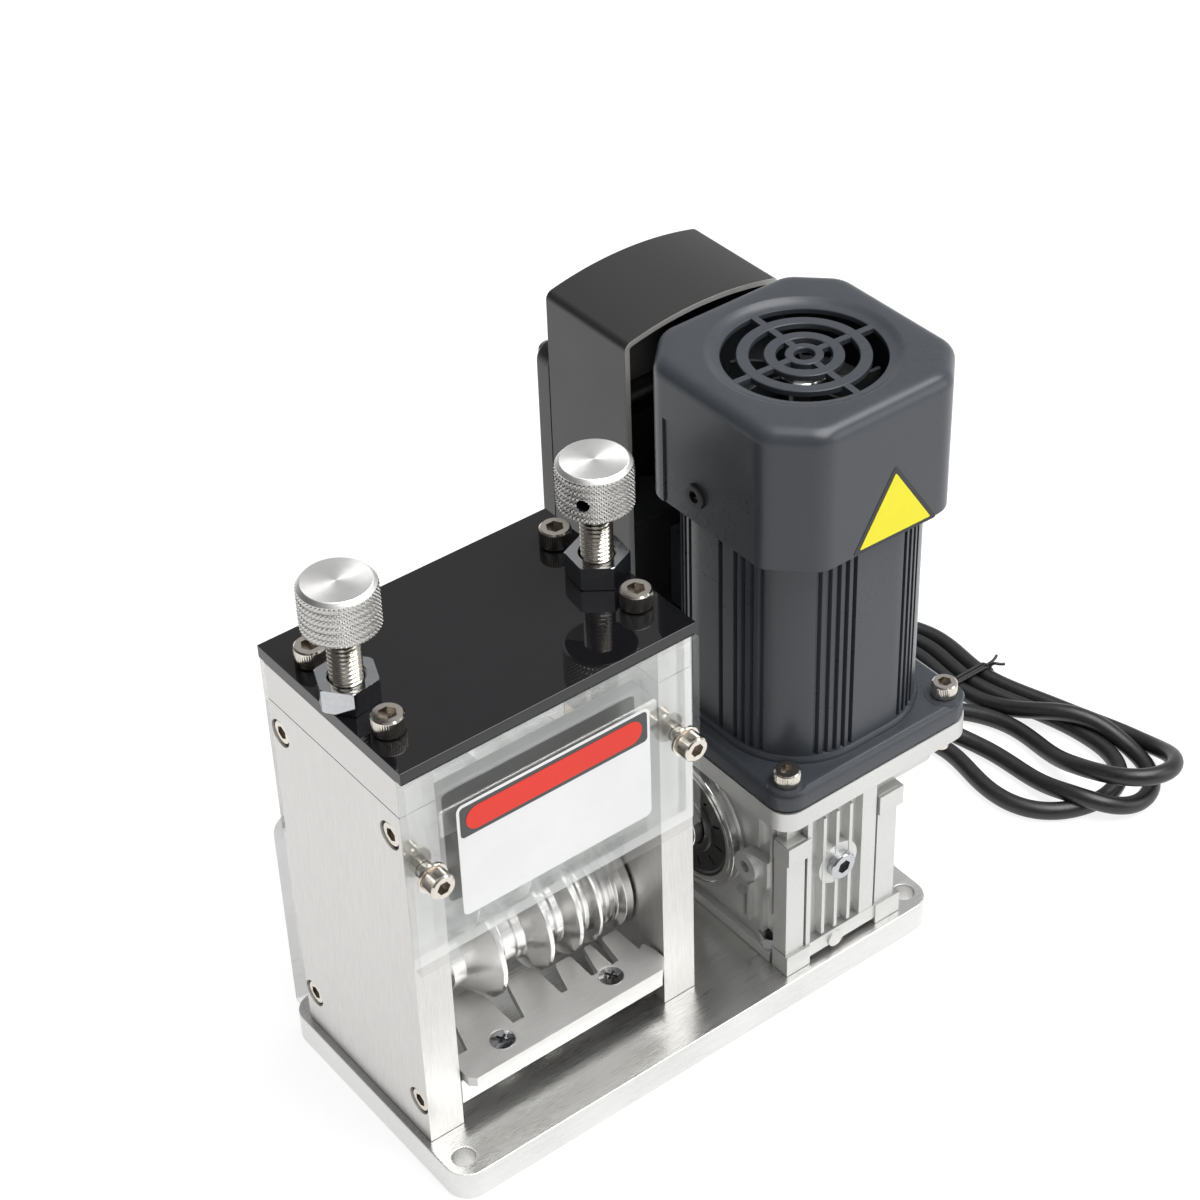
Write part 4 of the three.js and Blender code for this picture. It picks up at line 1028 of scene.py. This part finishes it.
# ---------------------------------------------------------------- gearbox
def gearbox():
    parts = [box(132.0, 176.0, -9.4, 59.0, 4.0, 62.5)]
    flange = prism(rounded(127.7, 207.7, -13, 67, 7, 10), "z", 62.2, 69.4)
    parts.append(flange)
    # neck under the flange, down to the wheel housing
    parts.append(prism(rounded(131.5, 196, -9.4, 60, 5, 6), "z", 56, 62.4))
    parts.append(prism([(176, 40), (190, 58), (190, 62.3), (176, 62.3)], "y", 2, 50))
    # output side: round housing that tapers to the body
    parts.append(lathe([(0, 127.8), (25.0, 127.8), (25.2, 128.2), (25.2, 130.4), (24.2, 130.8), (26.4, 133.5), (0, 133.5)], "x", SY, RZ, 96))
    # corner posts
    for x0, x1 in ((129.8, 137.3), (168.2, 176.4)):
        for y0, y1 in ((-12.2, -6), (55.6, 61.8)):
            parts.append(box(x0, x1, y0, y1, 0.25, 56.2))
            a, b = (y0 - 1.2, y1) if y0 < 0 else (y0, y1 + 1.2)
            parts.append(box(x0 - 0.3, x1 + 2.0, a, b, 0.22, 8.4))
            parts.append(box(x0 - 0.3, x1 + 1.6, a, b, 48.5, 56.0))
    # narrow ribs beside the posts, fins, wide panel and cross rails, on both long sides
    for s in (0, 1):
        def yb(a, b):
            return (a, b) if s == 0 else (49.6 - b, 49.6 - a)

        for x0, x1, z0, z1 in (
            (138.0, 139.8, 8.0, 62.3),
            (144.6, 145.9, 9.6, 60.0),
            (150.0, 151.3, 9.6, 60.0),
            (155.6, 156.9, 9.6, 60.0),
            (161.0, 167.0, 7.0, 62.3),
        ):
            a, b = yb(-12.6, -8.6)
            parts.append(box(x0, x1, a, b, z0, z1))
        a, b = yb(-12.8, -7.4)
        parts.append(box(136, 169, a, b, 2.6, 8.6))
        a, b = yb(-13.6, -9)
        parts.append(cyl("y", 3.0, 150.4, 4.6, a, b, 32))
        a, b = yb(-12.4, -8.6)
        parts.append(cyl("y", 8.0, 151.3, 37.6, a, b, 48))
    # output side ribs, lug, block and foot lip
    parts.append(box(129.6, 134, -5.2, -4.0, 22, 60))
    parts.append(box(129.6, 134, -1.0, 0.1, 11, 33))
    parts.append(box(129.6, 134, 5.9, 7.0, 11, 27))
    parts.append(box(129.8, 134, 1.4, 2.6, 47, 60))
    parts.append(box(129.2, 134, 8.4, 13.0, 11.5, 21))
    parts.append(cyl("x", 5.2, 5.1, 37.4, 126.9, 134, 40))
    parts.append(prism([(-4.0, 33), (6, 32.2), (6, 42.6), (-4.0, 44)], "x", 128.6, 134))
    parts.append(box(129.4, 176.6, -4.8, 54.4, 0.25, 4.4))
    # far side: round cap over the wheel and two ribs
    parts.append(lathe([(0, 172), (20, 172), (21, 176), (20.2, 178.0), (16, 178.6), (0, 178.6)], "x", SY, RZ, 72))
    parts.append(box(174, 177.6, 4, 5.4, 6, 58))
    parts.append(box(174, 177.6, 13, 14.4, 6, 20))
    ob = fuse(*parts)
    cut(
        ob,
        cyl("x", 21.2, SY, RZ, 126, 164.4, 72),
        cyl("x", 9.7, SY, RZ, 160, 171, 48),
        cyl("z", 7.3, MX, MY, 45.9, 71, 40),
        cyl("x", 2.1, 5.1, 37.4, 120, 131, 24),
        cyl("y", 4.3, 151.3, 37.6, -14, -2.9, 32),
        lathe([(22.4, 126), (23.4, 126), (23.4, 128.6), (22.4, 128.6), (22.4, 126)], "x", SY, RZ, 96),
    )
    return ob


def milled(c, n):
    ledge = n.z > 0.9 and (abs(c.z - 56.0) < 0.5 or abs(c.z - 8.4) < 0.3) and (c.y < -9 or c.y > 58)
    return ledge


gb = gearbox()
emit(
    "gearbox_housing_v",
    gb,
    M["cast"],
    node="gearbox_housing",
    bevel=0.45,
    seg=2,
    angle=30,
    smooth=38,
    faces=[
        (M["cast_cut"], milled),
        (M["machined"], lambda c, n: c.x < 131.2 and 20.9 < math.hypot(c.y - SY, c.z - RZ) < 25.6),
    ],
)
gear = lathe(
    [(7.4, 124.4), (8.8, 124.4), (9.2, 124.8), (9.2, 150), (20.6, 150), (20.6, 158.2), (17.6, 161.2), (9.2, 161.2), (9.2, 170.4), (7.4, 170.4), (7.4, 124.4)],
    "x", SY, RZ, 96,
)
emit("output_gear_v", gear, M["machined"], node="output_gear", bevel=0.15, faces=[(M["bronze"], lambda c, n: c.x > 149)])
seal = lathe(
    [(9.5, 128.4), (10.6, 127.9), (12.2, 127.9), (12.8, 128.7), (19.6, 128.7), (20.2, 128.2), (20.9, 128.2), (20.9, 133.4), (9.5, 133.4), (9.5, 128.4)],
    "x", SY, RZ, 96,
)
slots = []
for i in range(12):
    b = box(127, 129.4, 14.4, 18.2, -0.45, 0.45)
    moved(b, Matrix.Translation((0, SY, RZ)) @ Matrix.Rotation(math.radians(30 * i + 8), 4, "X"))
    slots.append(b)
cut(seal, *slots)
emit("oil_seal_v", seal, M["seal"], node="oil_seal", smooth=30)
plug = lathe([(0, 6.0), (4, 6.0), (4, 0.1), (6.0, 0.1), (6.0, -2.2), (4.9, -2.4), (4.9, -5.2), (4.4, -5.7), (0, -5.7)], "y", 0, 0, 64)
cut(plug, prism(hexagon(4.4, 0, 0, 12), "y", -6.5, -2.4))
moved(plug, T(151.3, -9.8 + 0.1, 37.6))
# the floor of the plug's hex socket is dark: painted shade
emit("oil_plug_v", plug, M["zinc"], node="oil_plug", bevel=0.15, faces=[(M["socket_painted_shade"], lambda c, n: c.y > -13.0 and math.hypot(c.x - 151.3, c.z - 37.6) < 2.3)])
for i, (x, y) in enumerate([(133.6, -1.4), (133.6, 51.0)]):
    nut = prism(hexagon(8, x, y, 15), "z", 4.6, 9.0)
    meet(nut, lathe([(0, 4.4), (4.8, 4.4), (4.8, 8.6), (4.2, 9.1), (0, 9.1)], "z", x, y, 48))
    emit(f"foot_nut_{i + 1}", nut, M["zinc"], body=OUT, bevel=0.1)
    emit(f"foot_stud_{i + 1}", lathe([(0, 8.8), (2.5, 8.8), (2.5, 10.8), (1.9, 11.3), (0, 11.3)], "z", x, y, 32), M["stud_black_and_hole_shade"], body=OUT)


# ---------------------------------------------------------------- motor
def side_depth(u, half=34.0, r=26.0):
    f = half - r
    return half if abs(u) <= f else f + math.sqrt(max(0.0, r * r - (abs(u) - f) ** 2))


def body_outline(groove=1.5):
    """Rounded square with rib groups; the same groups on opposite sides."""
    groups = {
        "front": [(-20.6, -7.4, 5), (11.8, 20.6, 4)],
        "left": [(-20.0, -12.2, 3), (1.2, 3.0, 1), (8.2, 19.4, 4)],
    }
    d = 26.38
    pts = []

    def face(kind, sign):
        us = []
        cuts = []
        for a, b, k in groups[kind]:
            step = (b - a) / (k * 2 - 1)
            for i in range(k):
                cuts.append((a + 2 * i * step, a + (2 * i + 1) * step))
        u = -d
        grid = [(-d + 2 * d * i / 72) for i in range(72)]
        marks = sorted(grid + [c + e for p in cuts for c in p for e in (-0.12, 0.12)])
        for m in marks:
            inside = any(p[0] <= m <= p[1] for p in cuts)
            us.append((m, side_depth(m) - (groove if inside else 0.0)))
        return us

    for u, v in face("front", 1):
        pts.append((MX + u, MY - v))
    for u, v in face("left", 1):
        pts.append((MX + v, MY + u))
    for u, v in face("front", 1):
        pts.append((MX - u, MY + v))
    for u, v in face("left", 1):
        pts.append((MX - v, MY - u))
    return pts


motor = prism(body_outline(), "z", 78.5, 158.5)
flange = loft(
    [
        [(x, y, z) for x, y in rounded(MX - h, MX + h, MY - h, MY + h, r, 10)]
        for h, r, z in ((39.2, 7.4, 69.72), (40, 8, 70.4), (40, 8, 74.6), (39.5, 7.7, 76.1), (38.2, 6.8, 77.1), (36.8, 6, 77.2))
    ]
)
collar = loft(
    [
        [(x, y, z) for x, y in rounded(MX - h, MX + h, MY - h, MY + h, r, 12)]
        for h, r, z in ((35.2, 27, 76.5), (35.0, 26.8, 78.6), (34.4, 26.2, 79.4))
    ]
)
pads = [lathe([(0, 76.6), (6.6, 76.6), (6.2, 77.35), (0, 77.35)], "z", MX + sx * 33.2, MY + sy * 33.2, 40) for sx in (-1, 1) for sy in (-1, 1)]
fuse(motor, flange, collar, box(150, 186, 50, 69.6, 95, 125), *pads)
cut(motor, cyl("z", 25, MX, MY, 88, 160, 64), cyl("z", 6.6, MX, MY, 68, 89, 40))
emit("motor_housing_v", motor, M["slate"], node="motor_housing", bevel=0.22, seg=2, angle=40, smooth=36)
rotor = lathe(
    [(0, 46.4), (5.6, 46.4), (6, 46.8), (6, 57.4), (5, 58.4), (5, 92), (24.4, 92), (24.4, 146), (5, 146), (5, 187), (3.4, 187.4), (3.4, 197.2), (3.0, 197.6), (0, 197.6)],
    "z", MX, MY, 72,
)
emit("motor_rotor_v", rotor, M["machined"], node="motor_rotor", bevel=0.15, faces=[(M["winding"], lambda c, n: 90 < c.z < 147 and math.hypot(c.x - MX, c.y - MY) > 6)])
place_screws(
    "motor",
    (4.25, 5.0, 2.5, 22, 4.0),
    [
        (f"motor_screw_{n}_v", f"motor_screw_{n}", T(MX + sx * 33.2, MY + sy * 33.2, 77.4))
        for n, sx, sy in (("front_left", -1, -1), ("front_right", 1, -1), ("rear_left", -1, 1), ("rear_right", 1, 1))
    ],
)


# ---------------------------------------------------------------- fan cover
RING_N = 240


def cut_ring(half, corner, r, z):
    """Points by direction round the motor axis, on a square with its corners cut at 45 degrees and its edges rounded."""
    d = (2 * half - corner) / math.sqrt(2)
    k = (d - r) * math.sqrt(2) - half + r
    quarter = arc(half - r, k, r, 0, 45, 8) + arc(k, half - r, r, 45, 90, 8)
    pts = []
    for c, q in ((1, 0), (0, 1), (-1, 0), (0, -1)):
        pts += [(x * c - y * q, x * q + y * c) for x, y in quarter]
    out = []
    for i in range(RING_N):
        a = 2 * math.pi * (i + 0.5) / RING_N
        c, q = math.cos(a), math.sin(a)
        for (xa, ya), (xb, yb) in zip(pts, pts[1:] + pts[:1]):
            wa, wb = c * ya - q * xa, c * yb - q * xb
            if wa <= 0 < wb and c * xa + q * ya > 0:
                f = wa / (wa - wb)
                out.append((MX + xa + (xb - xa) * f, MY + ya + (yb - ya) * f, z))
                break
    return out


def round_ring(r, z):
    return [(MX + r * math.cos(2 * math.pi * (i + 0.5) / RING_N), MY + r * math.sin(2 * math.pi * (i + 0.5) / RING_N), z) for i in range(RING_N)]


def inset_ring(d, z):
    return cut_ring(38 - d, 13.5 - 0.586 * d, max(4.0, 9 - 0.5 * d), z)


Z1 = 206.0
outer = (
    [inset_ring(2.1, 156.9), inset_ring(0.4, 156.9), inset_ring(0, 157.3)]
    + [inset_ring(5 - 5 * math.cos(math.radians(t)), Z1 - 5.2 + 5 * math.sin(math.radians(t))) for t in (0, 12, 24, 36, 48, 60, 72, 84)]
    + [inset_ring(6.2, Z1 - 0.08), round_ring(30.2, Z1), round_ring(29.2, Z1 - 0.12)]
    + [round_ring(28.0, 205.1), round_ring(26.6, 204.5), round_ring(25.2, 204.35), round_ring(25.0, 204.1)]
    + [round_ring(25.0, 202.7), round_ring(27.0, 202.7)]
    + [inset_ring(5.5, 201.9), inset_ring(2.6, 198.1), inset_ring(2.2, 158.3), inset_ring(2.1, 156.9)]
)
shell = loft(outer, False, False)
bm = bmesh.new()
bm.from_mesh(shell.data)
bmesh.ops.remove_doubles(bm, verts=bm.verts, dist=1e-4)
bmesh.ops.recalc_face_normals(bm, faces=bm.faces)
bm.to_mesh(shell.data)
bm.free()
# flat recess for the cable inlet, low on the side that faces the stripping head
cut(shell, box(128.5, 130.45, 4.6, 47.0, 156, 188.0), cyl("x", 4.1, 32.0, 167.3, 127, 134, 32))


def tube_ring(r0, r1, z0, z1, n=96):
    return lathe([(r0, z0), (r1, z0), (r1, z1 - 0.25), (r1 - 0.25, z1), (r0 + 0.25, z1), (r0, z1 - 0.25), (r0, z0)], "z", MX, MY, n)


grille = [tube_ring(16.5, 20.2, 202.7, 204.5), tube_ring(8.5, 12.0, 202.7, 204.5), tube_ring(3.2, 5.8, 202.7, 204.5)]
for i in range(4):
    s = box(4.6, 25.8, -1.15, 1.15, 202.8, 204.4)
    moved(s, T(MX, MY, 0, Matrix.Rotation(math.radians(90 * i - 4), 4, "Z")))
    grille.append(s)
g = fuse(grille[0], *grille[1:])
bevelled(g, 0.2, 2)
cover_mesh = join(shell, g)
emit("fan_cover_v", cover_mesh, M["slate"], node="fan_cover", smooth=30)
grommet = lathe([(2.0, 129.2), (3.6, 129.2), (4.0, 129.6), (4.0, 132.5), (2.0, 132.5), (2.0, 129.2)], "x", 32.0, 167.3, 48)
emit("cable_grommet", grommet, M["plastic"], body=OUT)
blades = [
    lathe([(0, 188.2), (21.5, 188.2), (22, 188.6), (22, 189.6), (7, 189.6), (7, 197.6), (6.4, 198), (0, 198)], "z", MX, MY, 64)
]
for i in range(7):
    pts = []
    for k in range(9):
        r = 6.5 + 16.3 * k / 8
        a = 0.35 * (k / 8) ** 1.3
        pts.append((r * math.cos(a), r * math.sin(a)))
    outline = [(x - 0.5 * y / 8, y + 0.5) for x, y in pts] + [(x + 0.5 * y / 8, y - 0.5) for x, y in reversed(pts)]
    b = prism(outline, "z", 189.2, 197.4)
    moved(b, T(MX, MY, 0, Matrix.Rotation(2 * math.pi * i / 7, 4, "Z")))
    blades.append(b)
fan = fuse(blades[0], *blades[1:])
cut(fan, cyl("z", 3.7, MX, MY, 187, 199, 32))
emit("cooling_fan_v", fan, M["fan"], node="cooling_fan", smooth=30, faces=[(M["machined"], lambda c, n: c.z > 197.5 and math.hypot(c.x - MX, c.y - MY) < 7)])

# yellow triangle, blank
tri = [(170.4, 182.4), (186.9, 157.4), (155.4, 158.1)]


def shrink(pts, d):
    cx_, cz_ = sum(p[0] for p in pts) / 3, sum(p[1] for p in pts) / 3
    return [(cx_ + (x - cx_) * d, cz_ + (z - cz_) * d) for x, z in pts]


def soften(pts, r):
    """Rounds the corners of a polygon with short arcs."""
    out = []
    n = len(pts)
    for i in range(n):
        p = Vector(pts[i])
        a = (Vector(pts[i - 1]) - p).normalized()
        b = (Vector(pts[(i + 1) % n]) - p).normalized()
        s, e = p + a * r, p + b * r
        for k in range(6):
            t = k / 5
            q = s * (1 - t) ** 2 + p * 2 * t * (1 - t) + e * t * t
            out.append((q.x, q.y))
    return out


decal("cover_triangle_edge", soften(shrink(tri, 1.07), 1.6), MY - 38.02, "seal", 0.1)
decal("cover_triangle", soften(shrink(tri, 0.9), 0.8), MY - 38.13, "yellow", 0.08)


# ---------------------------------------------------------------- control box
def U(inset, low, n=10):
    lean = 13.68
    return (
        [(132.8 + inset, low), (193.5 - inset, low)]
        + arc(190.5, 198.71, 3 - inset, 0, 90 - lean, n)
        + arc(163.15, 86.5, 118.5 - inset, 90 - lean, 90 + lean, 24)[1:-1]
        + arc(135.8, 198.71, 3 - inset, 90 + lean, 180, n)
    )


hood = prism(U(0, 62), "y", 68.5, 108)
cut(hood, prism(U(2, 55), "y", 67, 110))
emit(
    "control_box_cover_v",
    hood,
    M["box"],
    node="control_box_cover",
    bevel=0.3,
    seg=2,
    # the front edge face of the hood is lighter grey: painted highlight along the opening
    faces=[(M["hood_edge_highlight"], lambda c, n: n.y < -0.7 and c.y < 69.5)],
)


def lid(x0, x1, y0, y1, z0, z1, r, corner):
    """Shallow lid whose outer edges are rounded all the way round."""
    rings = [[(x, y0, z) for x, z in rounded(x0, x1, z0, z1, corner, 8)]]
    for t in range(0, 91, 15):
        d = r * (1 - math.cos(math.radians(t)))
        y = y1 - r + r * math.sin(math.radians(t))
        rings.append([(x, y, z) for x, z in rounded(x0 + d, x1 - d, z0 + d, z1 - d, corner - d, 8)])
    return loft(rings)


SWX, SWY, SWZ = 163, 110.6, 150
tray = prism(U(2.3, 62.2), "y", 105.6, 108)
fuse(
    tray,
    box(135.1, 191.2, 70, 107, 62.2, 64.2),
    box(135.1, 191.2, 70, 72, 62.2, 132),
    lid(132.8, 193.5, 108.3, 115.5, 80, 179, 1.6, 6.0),
    box(137.1, 189.2, 106, 109, 84, 175),
)
cut(tray, box(SWX - 11, SWX + 11, 104, 117, SWZ - 7, SWZ + 7), cyl("z", 4, 178, 90, 61, 66, 32))
emit("control_box_tray_v", tray, M["box"], node="control_box_tray", bevel=0.5, seg=3)
rock = fuse(box(-10.4, 10.4, 0, 5.7, -5.6, 5.6), cyl("x", 6, 0, 0, -10.4, 10.4, 48))
cut(rock, cyl("x", 26, 31.0, 0, -9.4, 9.4, 96))
bevelled(rock, 0.35, 2)
moved(rock, T(SWX, SWY, SWZ, Matrix.Rotation(math.radians(-10), 4, "X")))
emit("rocker_switch_v", rock, M["plastic"], node="rocker_switch")
bezel = cut(box(SWX - 13.5, SWX + 13.5, 115.6, 116.6, SWZ - 9.5, SWZ + 9.5), box(SWX - 10.9, SWX + 10.9, 114, 118, SWZ - 6.9, SWZ + 6.9))
emit("switch_bezel", bezel, M["plastic"], body=OUT, bevel=0.3)
for i, (x, z) in enumerate([(137.5, 84), (188.8, 84), (137.5, 175), (188.8, 175)]):
    s = lathe([(0, 115.4), (2.8, 115.4), (2.8, 116.2), (1.6, 117.0), (0, 117.2)], "y", x, z, 40)
    cut(s, box(x - 2, x + 2, 116.3, 118, z - 0.35, z + 0.35), box(x - 0.35, x + 0.35, 116.3, 118, z - 2, z + 2))
    emit(f"tray_screw_{i + 1}", s, M["zinc"], body=OUT)
cap = lathe([(0, 70), (15.5, 70), (16.5, 71), (16.5, 118), (15.8, 119), (0, 119)], "z", 158, 90, 64)
emit("run_capacitor", cap, M["fan"], body=OUT)

# ---------------------------------------------------------------- floor and light
def stage_setup():
    me = bpy.data.meshes.new("floor")
    s, z = 4.0, -0.0002
    me.from_pydata([(-s, -s, z), (s, -s, z), (s, s, z), (-s, s, z)], [], [(0, 1, 2, 3)])
    floor = link(bpy.data.objects.new("floor", me))
    paper = material("floor_paper", (0.26, 0.26, 0.26), 0.0, 0.75, 0.05, 0.004, scale=30, bump=0.02, spec=0.2, smudge=0.004)
    shade = next(n for n in paper.node_tree.nodes if n.type == "BSDF_PRINCIPLED")
    shade.inputs["Emission Color"].default_value = (1, 1, 1, 1)
    shade.inputs["Emission Strength"].default_value = 0.84
    me.materials.append(paper)
    world = bpy.data.worlds.new("studio")
    scene.world = world
    world.use_nodes = True
    t = world.node_tree
    t.nodes.clear()
    out = t.nodes.new("ShaderNodeOutputWorld")
    bg = t.nodes.new("ShaderNodeBackground")
    co = t.nodes.new("ShaderNodeTexCoord")
    sep = t.nodes.new("ShaderNodeSeparateXYZ")
    ramp = t.nodes.new("ShaderNodeValToRGB")
    t.links.new(co.outputs["Generated"], sep.inputs[0])
    t.links.new(sep.outputs["Z"], ramp.inputs["Fac"])
    e = ramp.color_ramp.elements
    e[0].position, e[0].color = 0.0, (0.55, 0.55, 0.55, 1)
    e[1].position, e[1].color = 1.0, (0.98, 0.98, 0.98, 1)
    for at, v in ((0.3, 0.42), (0.5, 0.34), (0.72, 0.34), (0.84, 0.6)):
        e.new(at).color = (v, v, v * 1.01, 1)
    t.links.new(ramp.outputs["Color"], bg.inputs["Color"])
    away = t.nodes.new("ShaderNodeMapRange")
    away.inputs["From Min"].default_value = -0.7
    away.inputs["From Max"].default_value = 0.3
    away.inputs["To Min"].default_value = 0.22
    away.inputs["To Max"].default_value = 1.3
    t.links.new(sep.outputs["X"], away.inputs["Value"])
    t.links.new(away.outputs["Result"], bg.inputs["Strength"])
    t.links.new(bg.outputs[0], out.inputs[0])

    def lamp(name, at, aim, size, power):
        d = bpy.data.lights.new(name, "AREA")
        d.shape, d.size, d.size_y, d.energy = "RECTANGLE", size[0], size[1], power
        o = link(bpy.data.objects.new(name, d))
        o.location = at
        o.rotation_mode = "QUATERNION"
        o.rotation_quaternion = (Vector(aim) - Vector(at)).to_track_quat("-Z", "Y")

    lamp("top_light", (0.3, -0.35, 1.2), (0, 0, 0.1), (1.1, 0.8), 16.5)
    lamp("key_light", (-0.9, -0.7, 0.75), (0, 0, 0.1), (0.6, 0.8), 0.5)
    lamp("front_light", (0.85, -0.95, 0.55), (0.05, 0, 0.1), (0.7, 0.7), 2.9)
    scene.view_settings.view_transform = "Standard"
    scene.view_settings.look = "None"
    scene.view_settings.exposure = 0.0


stage_setup()
